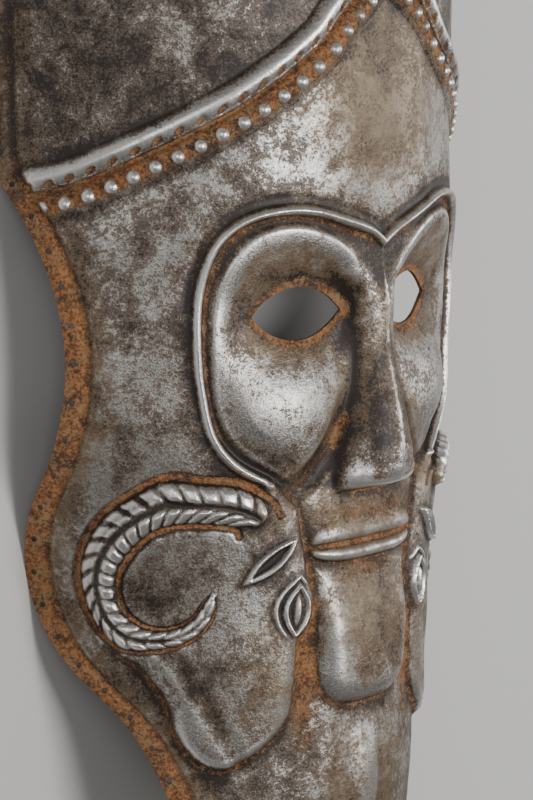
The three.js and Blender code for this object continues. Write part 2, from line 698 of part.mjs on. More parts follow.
// The embossed sheet as a closed mesh: face, back and the cut edge between them
function shell() {
  const edge = edgeLine(edgePitch);
  const half = layPoints(edge);
  const ghosts = half.filter((p) => p.x > 0 && p.x < 2 * plainPitch).map((p) => new THREE.Vector2(-p.x, p.y));
  const corners = triangulate([...half, ...ghosts]).filter((triangle) => {
    if (triangle.some((i) => i >= half.length)) return false;
    const s = triangle.reduce((sum, i) => sum + half[i].x / 3, 0);
    const y = triangle.reduce((sum, i) => sum + half[i].y / 3, 0);
    return depthInside(edge, s, y) > 0;
  });
  const positions = [];
  const faces = [];
  [1, -1].forEach((side) => {
    const first = positions.length / 3;
    half.forEach((p) => {
      const height = relief(p.x, p.y);
      positions.push(...lift(side * p.x, p.y, height), ...lift(side * p.x, p.y, height - sheet));
    });
    const outer = (i) => first + 2 * i;
    const inner = (i) => first + 2 * i + 1;
    const turn = (triangle) => (side > 0 ? triangle : [...triangle].reverse());
    const open = new Map();
    corners.forEach((triangle) => {
      const [a, b, c] = turn(triangle);
      faces.push(outer(a), outer(b), outer(c), inner(a), inner(c), inner(b));
      [[a, b], [b, c], [c, a]].forEach(([from, to]) => {
        if (!open.delete(`${to},${from}`)) open.set(`${from},${to}`, [from, to]);
      });
    });
    open.forEach(([from, to]) => {
      if (half[from].x === 0 && half[to].x === 0) return;
      faces.push(outer(to), outer(from), inner(from), outer(to), inner(from), inner(to));
    });
  });
  const geometry = new THREE.BufferGeometry();
  geometry.setAttribute('position', new THREE.Float32BufferAttribute(positions, 3));
  geometry.setIndex(faces);
  return geometry;
}

// Closed mesh to solid and back
function solid(geometry) {
  const bare = geometry.clone();
  bare.deleteAttribute('normal');
  bare.deleteAttribute('uv');
  const merged = mergeVertices(bare, 1e-4);
  const vertProperties = new Float32Array(merged.attributes.position.array);
  const triVerts = new Uint32Array(merged.index.array);
  return new wasm.Manifold(new wasm.Mesh({ numProp: 3, vertProperties, triVerts }));
}

function meshed(body) {
  const { vertProperties, triVerts } = body.getMesh();
  const geometry = new THREE.BufferGeometry();
  geometry.setAttribute('position', new THREE.BufferAttribute(new Float32Array(vertProperties), 3));
  geometry.setIndex(Array.from(triVerts));
  return geometry;
}

// A punch through the sheet, square to it at a point
function punch(shape, s, y, reach) {
  const geometry = new THREE.ExtrudeGeometry(shape, { depth: 2 * reach, bevelEnabled: false });
  geometry.translate(0, 0, -reach);
  const { radius, flank } = section(y);
  geometry.rotateY(Math.sign(s) * Math.min(Math.abs(s) / radius, flank));
  const height = relief(Math.abs(s), y) - sheet / 2;
  geometry.translate(...lift(s, y, height));
  return solid(geometry);
}

// Almond of two arcs
function almond(length, height) {
  const rise = height / 2;
  const radius = ((length / 2) ** 2 + rise ** 2) / (2 * rise);
  const spread = Math.asin(length / 2 / radius);
  const arc = even(-spread, spread, spread / 5).slice(0, -1);
  const over = arc.map((a) => new THREE.Vector2(-radius * Math.sin(a), radius * Math.cos(a) - radius + rise));
  const under = over.map((p) => new THREE.Vector2(-p.x, -p.y));
  return new THREE.Shape([...over, ...under]);
}

function polygon(diameter, sides) {
  const angles = Array.from({ length: sides }, (_, i) => (2 * Math.PI * (i + 0.5)) / sides);
  const radius = diameter / 2;
  return new THREE.Shape(angles.map((a) => new THREE.Vector2(radius * Math.cos(a), radius * Math.sin(a))));
}

// Places of the sewing holes: an even row inside the edge, on one half of the sheet
function holePlaces() {
  const row = beside(edgeLine(edgePitch / 3), holeInset, holePitch);
  return row.filter((p) => p.x > holePitch * 0.3);
}

// Tilt at which the edge touches the ground both above and below the eye line
function restTilt(edge) {
  const lowest = (tilt, above) => {
    const side = edge.filter((p) => p.y > 0 === above).map((p) => lift(p.x, p.y, -sheet));
    return Math.min(...side.map((p) => p.y * Math.sin(tilt) + p.z * Math.cos(tilt)));
  };
  let low = -0.2;
  let high = 0.2;
  for (let i = 0; i < 30; i += 1) {
    const middle = (low + high) / 2;
    if (lowest(middle, true) < lowest(middle, false)) low = middle;
    else high = middle;
  }
  return (low + high) / 2;
}

// The plate in its own frame: laid on its edges, ground flat where they touch, centred along Y
function layDown(body) {
  const geometry = meshed(body);
  geometry.rotateX(restTilt(edgeLine(edgePitch)));
  geometry.computeBoundingBox();
  geometry.translate(0, 0, -geometry.boundingBox.min.z - seatDepth);
  const ground = new THREE.BoxGeometry(4 * halfGirth, 2 * plateLength, 2 * halfGirth);
  ground.translate(0, 0, -halfGirth);
  const seated = meshed(solid(geometry).subtract(solid(ground)));
  seated.computeBoundingBox();
  const { min, max } = seated.boundingBox;
  seated.translate(0, -(min.y + max.y) / 2, 0);
  return seated;
}

function facePlate() {
  let body = solid(shell());
  const eye = almond(eyeLength, eyeHeight);
  const hole = polygon(holeDiameter, holeSides);
  const holes = holePlaces();
  [1, -1].forEach((side) => {
    body = body.subtract(punch(eye, side * eyeAcross, -eyeBelow, 4 * sheet));
    holes.forEach((p) => {
      body = body.subtract(punch(hole, side * p.x, p.y, 2 * sheet));
    });
  });
  const iron = new THREE.MeshStandardMaterial({ color: 0x8d8a83, roughness: 0.45, metalness: 0.9 });
  const plate = new THREE.Mesh(layDown(body), iron);
  plate.name = 'face_plate';
  return plate;
}

const group = new THREE.Group();
group.add(facePlate());
export default group;
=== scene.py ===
"""Guard of embossed iron for a horse's face, lying face up on a pale floor.

The sheet is described on its developed surface: s runs across from the centre line and y along it
from the line of the eyes, in millimetres. Heights are raised square to the plain form.
"""
import math

import bmesh
import bpy
import numpy as np
from mathutils import Matrix, Vector


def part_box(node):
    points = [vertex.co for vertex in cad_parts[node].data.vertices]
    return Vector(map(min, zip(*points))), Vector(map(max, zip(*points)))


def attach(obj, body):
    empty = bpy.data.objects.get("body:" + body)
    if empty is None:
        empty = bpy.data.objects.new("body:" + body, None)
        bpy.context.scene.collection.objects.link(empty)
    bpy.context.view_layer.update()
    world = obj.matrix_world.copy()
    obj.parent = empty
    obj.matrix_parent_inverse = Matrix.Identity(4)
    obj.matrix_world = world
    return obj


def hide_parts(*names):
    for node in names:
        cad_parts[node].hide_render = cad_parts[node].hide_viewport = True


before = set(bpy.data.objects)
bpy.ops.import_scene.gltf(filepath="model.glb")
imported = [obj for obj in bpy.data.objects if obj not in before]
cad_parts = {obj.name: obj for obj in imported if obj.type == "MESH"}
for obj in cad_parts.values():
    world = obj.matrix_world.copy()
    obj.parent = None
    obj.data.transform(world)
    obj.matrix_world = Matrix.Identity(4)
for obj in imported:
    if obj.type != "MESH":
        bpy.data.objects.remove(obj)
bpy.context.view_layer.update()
cad_low, cad_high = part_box("face_plate")

MM = 0.001

# The sheet and its overall form
SHEET = 1.4
PLATE_LENGTH = 465
EYE_LINE = 270
HALF_GIRTH = 159
SECTION_RADIUS = 120
CROWN_DROP = 20
CORNER_RADIUS = 26
END_SAG = 9
SAG_REACH = 60
SEAT_DEPTH = 0.5
BOTTOM = -EYE_LINE
TOP = PLATE_LENGTH - EYE_LINE

# Border and sewing holes
BORDER_WIDTH = 7
BORDER_GROOVE = 0.9
HOLE_DIAMETER = 2.2
HOLE_INSET = 3.2
HOLE_PITCH = 14

# Mask
MASK_HALF_WIDTH = 79
MASK_HEIGHT = 100
LOOP_HEIGHT = 2.9
LOOP_HALF_WIDTH = 2.6
LOOP_GROOVE = 1.5
LOOP_VALLEY = 0.5
LOOP_END_BELOW = 72
LOOP_END_FADE = 14
EYE_ACROSS = 35
EYE_BELOW = 3
EYE_LENGTH = 40
EYE_HEIGHT = 20
EYE_RECESS = 9.6
DOME_RIM = 1
DOME_EDGE = 10
CHEEK_HEIGHT = 4.5
CHEEK_ACROSS = 44
CHEEK_BELOW = 37
CHEEK_REACH = (23, 19)
NOSE_HEIGHT = 15.8
NOSE_HALF_WIDTH = 19.5
NOSE_BLEND = 1.4
NOSE_ROOF = 0.33
NOSE_POWER = 3.2
WING_HEIGHT = 2.2
WING_BELOW = 66
WING_REACH = (4.5, 5)
NOSE_LEAST = 3
FOLD_DEPTH = 2.8
FOLD_HALF_WIDTH = 6.5
MOUTH_BELOW = 91.4
LIP_HALF_WIDTH = 30
UPPER_LIP_HEIGHT = 4.8
UPPER_LIP_MIDDLE = 4
UPPER_LIP_REACH = (9, 4)
LIP_MOUND_HEIGHT = 3.2
LIP_MOUND_MIDDLE = 8
LIP_MOUND_HALF_WIDTH = 16
LIP_MOUND_REACH = 34
LIP_SLIT_DEPTH = 1.2
LIP_SLIT_HALF_WIDTH = 1.7
LOWER_LIP_HEIGHT = 4.6
LOWER_LIP_MIDDLE = 4.2
LOWER_LIP_REACH = (4.2, 3.4)
BEARD_LENGTH = 54
BEARD_BELOW = 99.5
BEARD_HALF_WIDTH = 27
BEARD_HEIGHT = 6.5
BEARD_EDGE = 11
RIDGE_HALF_WIDTH = 9
RIDGE_HEIGHT = 2.4

# Ram's head on each cheek, placed by the middle of the horn's curl
CURL_ACROSS = 84
CURL_BELOW = 96
CURL_RADIUS = 27
HORN_WIDTH = 21
HORN_HEIGHT = 4
HORN_RIB_PITCH = 5.9
HORN_RIB_DEPTH = 1.5
HORN_RIB_SLANT = 9
HORN_GROOVE = 0.5
HORN_FOOT_GROOVE = 1.2
HORN_ROOT_ANGLE = 148
RAM_HEIGHT = 4.6
RAM_WIDTH = 76
RAM_LENGTH = 108
RAM_EDGE = 10
RAM_FOOT = 2
EAR_HEIGHT = 2.6
EAR_LENGTH = 25
EAR_HALF_WIDTH = 3.6
EAR_TILT = 140
RAM_EYE_HEIGHT = 2.4
RAM_EYE_TILT = 5
RAM_EYE_CORE = (7.2, 1.9)
RAM_EYE_RING = (9.5, 4.7)
RAM_EYE_BROW = (13, 8.4)
MUZZLE_RIM_HEIGHT = 0.7
MUZZLE_RIM_INSET = 1.8
MUZZLE_RIM_HALF_WIDTH = 2.6
JAW_DEPTH = 0.8
JAW_HALF_WIDTH = 5
MOUTH_NOTCH_DEPTH = 2
MOUTH_NOTCH_RADIUS = 1.7

# Band: a rope roll above a row of beads
BAND_HALF_SPAN = 139
BAND_RISE = 84
BAND_FOOT = 41
ROLL_OFFSET = 6
ROLL_HALF_WIDTH = 5
ROLL_HEIGHT = 3.6
RIM_OFFSET = 1.5
RIM_HALF_WIDTH = 1.1
RIM_HEIGHT = 0.8
PIT_OFFSET = 3.5
PIT_DEPTH = 1.5
PIT_HALF_LENGTH, PIT_HALF_WIDTH = 2.7, 1.3
PIT_TILT = 20
BAND_GROOVE = 1
BEAD_OFFSET = 4.8
BEAD_PITCH = 8.7
BEAD_HALF_LENGTH, BEAD_HALF_WIDTH = 2.5, 2.8
BEAD_HEIGHT = 1.9
BED_HALF_WIDTH = 5.1
BED_HEIGHT = 1.8

# Chart of the developed sheet, and the mesh of the fine sheet
CHART_PITCH = 0.5
CHART_REACH = 166
NEARBY = 25
COLUMNS = 380
ROW_FINE = 0.75
ROW_PLAIN = 2
FINE_FROM, FINE_TO = -178, 125
TRIANGLE_BUDGET = 190_000
HOLE_SIDES = 14
SHARP_ANGLE = 35
OUTER_SHARE, INNER_SHARE = 0.42, 0.58

# The photograph's viewpoint: turned to the plate's left, seen a little from above its crown
VIEW_TURN = 50
VIEW_RISE = 9
VIEW_DISTANCE = 1300
PIXELS_PER_MM = 2.67
FRAME_WIDTH, FRAME_HEIGHT = 533, 800
EYE_LINE_PIXEL = (381, 300)

# Colours of the finish
DULL, SILVER, POLISHED = (0.3, 0.28, 0.255), (0.58, 0.56, 0.53), (0.76, 0.75, 0.73)
FILM_OLIVE, FILM_BROWN = (0.2, 0.145, 0.07), (0.16, 0.095, 0.055)
FILM_ON_PATINA = (0.15, 0.095, 0.048)
PATINA_DARK, PATINA_PALE = (0.085, 0.06, 0.045), (0.165, 0.125, 0.095)
PATINA_DEEP = (0.026, 0.018, 0.014)
RUST_DARK, RUST_OCHRE = (0.1, 0.042, 0.018), (0.4, 0.17, 0.062)
RUST_CRUST, RUST_DUST = (0.06, 0.034, 0.022), (0.27, 0.17, 0.085)
INSIDE_BROWN = (0.1, 0.06, 0.038)
FLOOR_GREY = (0.62, 0.61, 0.6)
AMBIENT, AMBIENT_STRENGTH = (1, 0.98, 0.95), 0.17


def table(names, rows):
    """Rows of numbers under named columns."""
    return dict(zip(names.split(), np.array(rows, float).T))


STATIONS = table("along radius flank crown half", [
    (0.0, 0.667, 52, -0.85, 0.302),
    (0.086, 0.683, 55, -0.55, 0.403),
    (0.178, 0.708, 58, -0.325, 0.522),
    (0.237, 0.733, 60, -0.35, 0.616),
    (0.301, 0.792, 63, -0.375, 0.792),
    (0.357, 0.808, 65, -0.375, 0.868),
    (0.409, 0.9, 65, -0.325, 0.874),
    (0.473, 1.033, 65, -0.2, 0.824),
    (0.538, 1.067, 65, -0.175, 0.799),
    (0.591, 1.05, 65, -0.1, 0.824),
    (0.641, 1.008, 65, 0.05, 0.893),
    (0.692, 0.942, 65, 0.15, 0.987),
    (0.742, 0.925, 65, 0.175, 1.0),
    (0.822, 0.983, 64, 0.1, 1.0),
    (0.903, 1.025, 63, -0.1, 0.981),
    (1.0, 1.033, 62, -0.4, 0.937),
])

# Crest of the loop round an eye, in shares of the mask's half width and height
LOOP = table("across along", [
    (0.0, 0.22), (0.1, 0.27), (0.27, 0.315), (0.48, 0.36), (0.68, 0.36), (0.84, 0.32), (0.95, 0.23),
    (1.0, 0.06), (1.0, -0.12), (0.97, -0.3), (0.915, -0.46), (0.8, -0.57), (0.62, -0.65),
])

# Outline of the dome inside a loop, closed, in the same shares
DOME = table("across along", [
    (0.03, -0.06), (0.08, 0.067), (0.17, 0.16), (0.26, 0.226), (0.38, 0.275), (0.52, 0.305),
    (0.66, 0.3), (0.77, 0.265), (0.855, 0.19), (0.905, 0.08), (0.92, -0.05), (0.92, -0.18),
    (0.9, -0.31), (0.85, -0.43), (0.76, -0.515), (0.633, -0.585), (0.53, -0.63), (0.456, -0.65),
    (0.38, -0.615), (0.285, -0.525), (0.215, -0.43), (0.158, -0.31), (0.1, -0.19), (0.057, -0.11),
    (0.03, -0.06),
])
FOLD = table("across along", [
    (0.14, -0.3), (0.18, -0.37), (0.24, -0.48), (0.32, -0.58), (0.42, -0.66), (0.52, -0.71),
    (0.63, -0.75),
])

# Nose: height of its crest and half its width, in shares, at places along the plate
NOSE = table("along height half", [
    (-0.8, -2.6, 0.97), (-0.715, 0.0, 0.97), (-0.69, 0.7, 1.0), (-0.65, 0.95, 1.0), (-0.59, 1.0, 0.95),
    (-0.5, 0.924, 0.82), (-0.34, 0.74, 0.66), (-0.15, 0.45, 0.52), (0.0, 0.38, 0.5), (0.08, 0.25, 0.6),
    (0.15, 0.114, 0.95), (0.22, 0.032, 1.28), (0.3, -0.25, 1.3), (0.5, -1.5, 1.3),
])
BEARD = table("across down", [
    (1.0, 0.0), (0.97, 0.3), (0.93, 0.65), (0.88, 0.83), (0.68, 0.95), (0.35, 1.0), (0.0, 1.0),
])
HORN = table("turn radius width", [
    (0, 1.311, 0.657), (20, 1.113, 0.738), (42, 0.967, 0.676), (65, 0.946, 0.767), (88, 0.904, 0.714),
    (110, 0.896, 0.743), (131, 0.913, 0.729), (150, 0.954, 0.69), (170, 1.0, 0.63),
    (190, 1.07, 0.58), (208, 1.081, 0.514), (226, 1.024, 0.367), (245, 0.961, 0.3),
    (265, 0.878, 0.267), (283, 0.769, 0.224), (298, 0.69, 0.06),
])

# Length along the horn's middle at each turn, by which its ribs are spaced
PATH_TURNS = np.arange(-20, 301, 5.0)
PATH_RADII = CURL_RADIUS * np.interp(PATH_TURNS, HORN["turn"], HORN["radius"])
HORN_PATH = {"turn": PATH_TURNS, "length": np.cumsum(PATH_RADII * math.radians(5))}

RAM = table("across along", [
    (-0.487, 0.278), (-0.566, 0.231), (-0.618, 0.185), (-0.645, 0.111), (-0.671, 0.037),
    (-0.697, -0.056), (-0.737, -0.139), (-0.711, -0.231), (-0.645, -0.285), (-0.632, -0.38),
    (-0.618, -0.463),
    (-0.592, -0.546), (-0.526, -0.611), (-0.447, -0.657), (-0.355, -0.694), (-0.276, -0.718),
    (-0.184, -0.704), (-0.105, -0.657), (-0.053, -0.593), (-0.026, -0.519), (0.026, -0.444),
    (0.092, -0.38), (0.158, -0.333), (0.25, -0.287), (0.32, -0.15), (0.35, 0.0), (0.26, 0.16),
    (0.06, 0.25), (-0.2, 0.25), (-0.4, 0.27), (-0.487, 0.278),
])
JAW = table("across along", [
    (0.03, -0.27), (-0.05, -0.33), (-0.14, -0.44), (-0.22, -0.54), (-0.3, -0.63), (-0.36, -0.72),
])
BAND = table("across along", [
    (1.16, -0.02), (0.94, 0.05), (0.72, 0.2), (0.47, 0.405), (0.26, 0.64), (0.165, 0.8), (0.0, 1.0),
])


def follow(rows, key, column, place):
    """Value of a column at a place, on a smooth curve through a table's rows."""
    x, v = rows[key], rows[column]
    place = np.asarray(place, float)
    tangent = np.gradient(v, x)
    i = np.clip(np.searchsorted(x, place) - 1, 0, len(x) - 2)
    span = x[i + 1] - x[i]
    t = np.clip((place - x[i]) / span, 0, 1)
    start = (2 * t**3 - 3 * t**2 + 1) * v[i] + (t**3 - 2 * t**2 + t) * span * tangent[i]
    end = (3 * t**2 - 2 * t**3) * v[i + 1] + (t**3 - t**2) * span * tangent[i + 1]
    return start + end


def line_through(x, y, divisions):
    """Smooth line through points, as an array of points."""
    p = np.stack([x, y], 1)
    last = len(p) - 1
    place = np.linspace(0, last, divisions + 1)
    i = np.minimum(place.astype(int), last - 1)
    t = (place - i)[:, None]
    a, b, c, d = p[np.maximum(i - 1, 0)], p[i], p[i + 1], p[np.minimum(i + 2, last)]
    squared = (2 * a - 5 * b + 4 * c - d) * t**2
    cubed = (3 * b - a - 3 * c + d) * t**3
    return 0.5 * (2 * b + (c - a) * t + squared + cubed)


def ridge(t, power=1.6):
    """1 on a crest (0), falling to 0 at its foot (1)."""
    return np.clip(1 - np.square(t), 0, 1) ** power


def step(t):
    """Soft step from 0 to 1."""
    t = np.clip(t, 0, 1)
    return t * t * (3 - 2 * t)


def rounded(depth, reach):
    """Rise of a pillow from its foot: steep at first, level at a reach inside."""
    return 1 - (1 - np.clip(depth / reach, 0, 1)) ** 2.2


def nearest(line, s, y):
    """Distance to a line, length along it, and the side (positive to its left); far off, only far."""
    low, high = line.min(0) - NEARBY, line.max(0) + NEARBY
    near = (s > low[0]) & (s < high[0]) & (y > low[1]) & (y < high[1])
    u, v = s[near], y[near]
    best, place, turn = np.full(u.shape, 1e6), np.zeros(u.shape), np.ones(u.shape)
    passed = 0.0
    for a, b in zip(line[:-1], line[1:]):
        dx, dy = b - a
        length = math.hypot(dx, dy)
        if length == 0:
            continue
        t = np.clip(((u - a[0]) * dx + (v - a[1]) * dy) / length**2, 0, 1)
        ex, ey = u - a[0] - t * dx, v - a[1] - t * dy
        squared = ex**2 + ey**2
        closer = squared < best
        best[closer] = squared[closer]
        place[closer] = passed + t[closer] * length
        turn[closer] = np.where(dx * ey[closer] - dy * ex[closer] >= 0, 1.0, -1.0)
        passed += length
    distance, along, side = np.full(s.shape, 1e3), np.zeros(s.shape), np.ones(s.shape)
    distance[near], along[near], side[near] = np.sqrt(best), place, turn
    return distance, along, side


def depth_inside(outline, s, y):
    """Distance inside a closed outline, negative outside."""
    inside = np.zeros(s.shape, bool)
    for a, b in zip(outline, np.roll(outline, 1, axis=0)):
        if a[1] == b[1]:
            continue
        crosses = (a[1] > y) != (b[1] > y)
        inside ^= crosses & (s < a[0] + (y - a[1]) / (b[1] - a[1]) * (b[0] - a[0]))
    distance = nearest(np.vstack([outline, outline[:1]]), s, y)[0]
    return np.where(inside, distance, -distance)


def share(y):
    """Place along the plate, 0 at its lower end and 1 at its top."""
    return (y - BOTTOM) / PLATE_LENGTH


def full_width(y):
    """Half width of the developed sheet, corners and all."""
    return HALF_GIRTH * follow(STATIONS, "along", "half", share(y))


def half_width(y):
    """Half width of the developed sheet, with its corners rounded."""
    to_end = np.clip(np.minimum(y - BOTTOM, TOP - y), 0, CORNER_RADIUS)
    return full_width(y) - CORNER_RADIUS + np.sqrt(CORNER_RADIUS**2 - (CORNER_RADIUS - to_end) ** 2)


def mask_line(rows, divisions):
    return line_through(rows["across"] * MASK_HALF_WIDTH, rows["along"] * MASK_HEIGHT, divisions)


def ram_line(rows, divisions):
    return line_through(
        CURL_ACROSS + rows["across"] * RAM_WIDTH, -CURL_BELOW + rows["along"] * RAM_LENGTH, divisions
    )


loop_line = mask_line(LOOP, 70)
dome_line = mask_line(DOME, 90)
fold_line = mask_line(FOLD, 30)
loop_field = np.vstack([loop_line, [(24, 2 - LOOP_END_BELOW), (0, -LOOP_END_BELOW)]])
beard_line = line_through(
    BEARD["across"] * BEARD_HALF_WIDTH, -BEARD_BELOW - BEARD["down"] * BEARD_LENGTH, 40
)
beard_field = np.vstack([
    beard_line,
    [(-BEARD_HALF_WIDTH, -BEARD_BELOW - BEARD_LENGTH), (-BEARD_HALF_WIDTH, -BEARD_BELOW)],
])
ram_outline = ram_line(RAM, 120)
jaw_line = ram_line(JAW, 24)
band_line = line_through(BAND["across"] * BAND_HALF_SPAN, BAND_FOOT + BAND["along"] * BAND_RISE, 80)
ear_middle = (CURL_ACROSS - 0.488 * RAM_WIDTH, -CURL_BELOW + 0.018 * RAM_LENGTH)
ram_eye_middle = (CURL_ACROSS - 0.63 * RAM_WIDTH, -CURL_BELOW - 0.167 * RAM_LENGTH)
jaw_end = (CURL_ACROSS - 0.355 * RAM_WIDTH, -CURL_BELOW - 0.715 * RAM_LENGTH)


def almond(length, height, points=24):
    """Outline of two equal arcs."""
    rise = height / 2
    radius = ((length / 2) ** 2 + rise**2) / (2 * rise)
    spread = math.asin(length / 2 / radius)
    a = np.linspace(-spread, spread, points)[:-1]
    over = np.stack([-radius * np.sin(a), radius * np.cos(a) - radius + rise], 1)
    return np.vstack([over, -over])


def bump(s, y, middle, reach):
    """A soft hill, 1 at its middle."""
    return np.exp(-(((s - middle[0]) / reach[0]) ** 2) - ((y - middle[1]) / reach[1]) ** 2)


def turned(s, y, middle, degrees):
    """Places along and across an axis turned from the s direction, from its middle."""
    c, n = math.cos(math.radians(degrees)), math.sin(math.radians(degrees))
    dx, dy = s - middle[0], y - middle[1]
    return dx * c + dy * n, dy * c - dx * n


def mask_relief(s, y):
    """Loops, the groove inside them, and the dome with the hollow round the eye and the cheek."""
    loop = nearest(loop_line, s, y)[0]
    dome = depth_inside(dome_line, s, y)
    in_loop = depth_inside(loop_field, s, y) > 0
    out = np.maximum(-dome, 0)
    groove = LOOP_GROOVE * 4 * out * loop / np.maximum((out + loop) ** 2, 0.01)
    groove = groove * step((y + LOOP_END_BELOW) / LOOP_END_FADE)
    hollow = -EYE_RECESS * bump(s, y, (EYE_ACROSS, -EYE_BELOW), (0.75 * EYE_LENGTH, 0.95 * EYE_HEIGHT))
    cheek = CHEEK_HEIGHT * bump(s, y, (CHEEK_ACROSS, -CHEEK_BELOW), CHEEK_REACH)
    rim = DOME_RIM * step((dome + 1) / 2.5) * step((y - 2) / 20)
    inside = (hollow + cheek) * step(dome / DOME_EDGE) + rim
    valley = LOOP_VALLEY * ridge((loop - 1.8 * LOOP_HALF_WIDTH) / LOOP_HALF_WIDTH) * (y > 0)
    height = LOOP_HEIGHT * ridge(loop / LOOP_HALF_WIDTH, 1.5)
    height += np.where(dome > 0, inside, np.where(in_loop, rim - groove, -valley))
    distance, along, _ = nearest(fold_line, s, y)
    length = np.hypot(*np.diff(fold_line, axis=0).T).sum()
    fade = step(along / (0.4 * length)) * step((length - along) / (0.4 * length))
    return height - FOLD_DEPTH * fade * ridge(distance / FOLD_HALF_WIDTH, 1)


def nose_surface(s, y):
    """The nose as a surface of its own, which falls below the face beside it."""
    along = y / MASK_HEIGHT
    crest = NOSE_HEIGHT * follow(NOSE, "along", "height", along)
    half = NOSE_HALF_WIDTH * follow(NOSE, "along", "half", along)
    out = s / half
    fall = NOSE_ROOF * out + (1 - NOSE_ROOF) * out**NOSE_POWER
    wing = WING_HEIGHT * bump(s, y, (0.8 * NOSE_HALF_WIDTH, -WING_BELOW), WING_REACH)
    return crest - np.maximum(crest, NOSE_LEAST) * fall + wing


def mouth_relief(s, y):
    """Upper lip on a low mound, and lower lip, with a slit between them."""
    above = y + MOUTH_BELOW
    full = np.clip(1 - (s / LIP_HALF_WIDTH) ** 4, 0, 1)
    spread = 0.4 + 0.6 * full
    to_upper = above / spread - UPPER_LIP_MIDDLE
    to_lower = above / spread + LOWER_LIP_MIDDLE
    upper = UPPER_LIP_HEIGHT * ridge(to_upper / np.where(to_upper > 0, *UPPER_LIP_REACH), 0.8)
    lower = LOWER_LIP_HEIGHT * ridge(to_lower / np.where(to_lower > 0, *LOWER_LIP_REACH), 0.8)
    mound = ridge((above - LIP_MOUND_MIDDLE) / LIP_MOUND_HALF_WIDTH, 1)
    mound = LIP_MOUND_HEIGHT * mound * ridge(s / LIP_MOUND_REACH, 1)
    lips = np.maximum(np.maximum(upper, lower) * np.sqrt(full), mound)
    return lips - LIP_SLIT_DEPTH * full * ridge(above / LIP_SLIT_HALF_WIDTH)


def on_horn(s, y):
    """The angle turned from the horn's root and the place across it, from -1 inside to 1 outside."""
    across, along = s - CURL_ACROSS, y + CURL_BELOW
    turn = HORN_ROOT_ANGLE - np.degrees(np.arctan2(along, across))
    turn = np.where(turn < -30, turn + 360, turn)
    middle = CURL_RADIUS * follow(HORN, "turn", "radius", turn)
    half = HORN_WIDTH / 2 * follow(HORN, "turn", "width", turn)
    place = (np.hypot(across, along) - middle) / half
    last = HORN["turn"][-1]
    return turn, np.where((turn < -8) | (turn > last), 9.0, place)


def horn_relief(s, y):
    """The curled horn with a groove down its middle and slanted cuts between its ribs."""
    turn, across = on_horn(s, y)
    last = HORN["turn"][-1]
    taper = 0.45 + 0.55 * step((last - turn) / (0.5 * last))
    root = step((turn + 6 - 12 * across**2) / 4)
    body = np.sqrt(np.clip(1 - across**2, 0, 1)) - HORN_GROOVE * ridge(across / 0.35)
    phase = follow(HORN_PATH, "turn", "length", turn - HORN_RIB_SLANT * np.abs(across)) / HORN_RIB_PITCH
    cut = ridge((phase - np.round(phase)) / 0.22, 1.2) * step((np.abs(across) - 0.1) / 0.25)
    height = taper * (HORN_HEIGHT * body - HORN_RIB_DEPTH * cut) * root
    foot = -HORN_FOOT_GROOVE * ridge((np.abs(across) - 1.2) / 0.35)
    return np.where(np.abs(across) < 1, height, foot * taper)


def lens(along, across, length, width):
    """Place in a pointed lens: 0 in its middle, 1 on its outline."""
    return np.abs(across) / width + (along / length) ** 2


def ram_relief(s, y):
    """The ram's head as a pillow, with its horn, ear, eye and jaw."""
    inside = depth_inside(ram_outline, s, y)
    turn, horn_across = on_horn(s, y)
    under_root = rounded(1.25 - np.abs(horn_across), 0.5) * step((90 - turn) / 50) * step((turn + 4) / 8)
    height = RAM_HEIGHT * np.maximum(rounded(inside + RAM_FOOT, RAM_EDGE), under_root)
    muzzle = step((-CURL_BELOW - 0.5 * RAM_LENGTH - y) / 15)
    rim = ridge((inside - MUZZLE_RIM_INSET) / MUZZLE_RIM_HALF_WIDTH)
    height += MUZZLE_RIM_HEIGHT * rim * muzzle
    height += horn_relief(s, y)

    along, across = turned(s, y, ear_middle, EAR_TILT)
    leaf = lens(along, across, EAR_LENGTH / 2, EAR_HALF_WIDTH)
    height += EAR_HEIGHT * (ridge((leaf - 0.85) / 0.4) - 0.35 * ridge(leaf / 0.6))

    across, along = turned(s, y, ram_eye_middle, RAM_EYE_TILT)
    core = lens(along, across, *RAM_EYE_CORE)
    ring = lens(along, across, *RAM_EYE_RING)
    brow = lens(along, across, *RAM_EYE_BROW)
    arc = ridge((brow - 1) / 0.16) * step((across + along / 3 + 2) / 3)
    height += RAM_EYE_HEIGHT * (0.9 * ridge(core) + ridge((ring - 1) / 0.3) + 0.6 * arc)

    height -= JAW_DEPTH * ridge(nearest(jaw_line, s, y)[0] / JAW_HALF_WIDTH)
    to_end = np.hypot(s - jaw_end[0], y - jaw_end[1])
    return height - MOUTH_NOTCH_DEPTH * ridge(to_end / MOUTH_NOTCH_RADIUS, 1)


def on_band(s, y):
    """Distance to the band's line, place above it, place in the nearest pit, and bead."""
    distance, along, side = nearest(band_line, s, y)
    above = -distance * side
    nearby = (along / BEAD_PITCH - np.round(along / BEAD_PITCH)) * BEAD_PITCH
    lengthwise, crosswise = turned(nearby, above, (0, PIT_OFFSET), PIT_TILT)
    in_pit = np.hypot(lengthwise / PIT_HALF_LENGTH, crosswise / PIT_HALF_WIDTH)
    to_bead = (along / BEAD_PITCH - 0.5 - np.round(along / BEAD_PITCH - 0.5)) * BEAD_PITCH
    in_bead = np.hypot(to_bead / BEAD_HALF_LENGTH, (above + BEAD_OFFSET) / BEAD_HALF_WIDTH)
    return distance, above, in_pit, ridge(in_bead, 0.7)


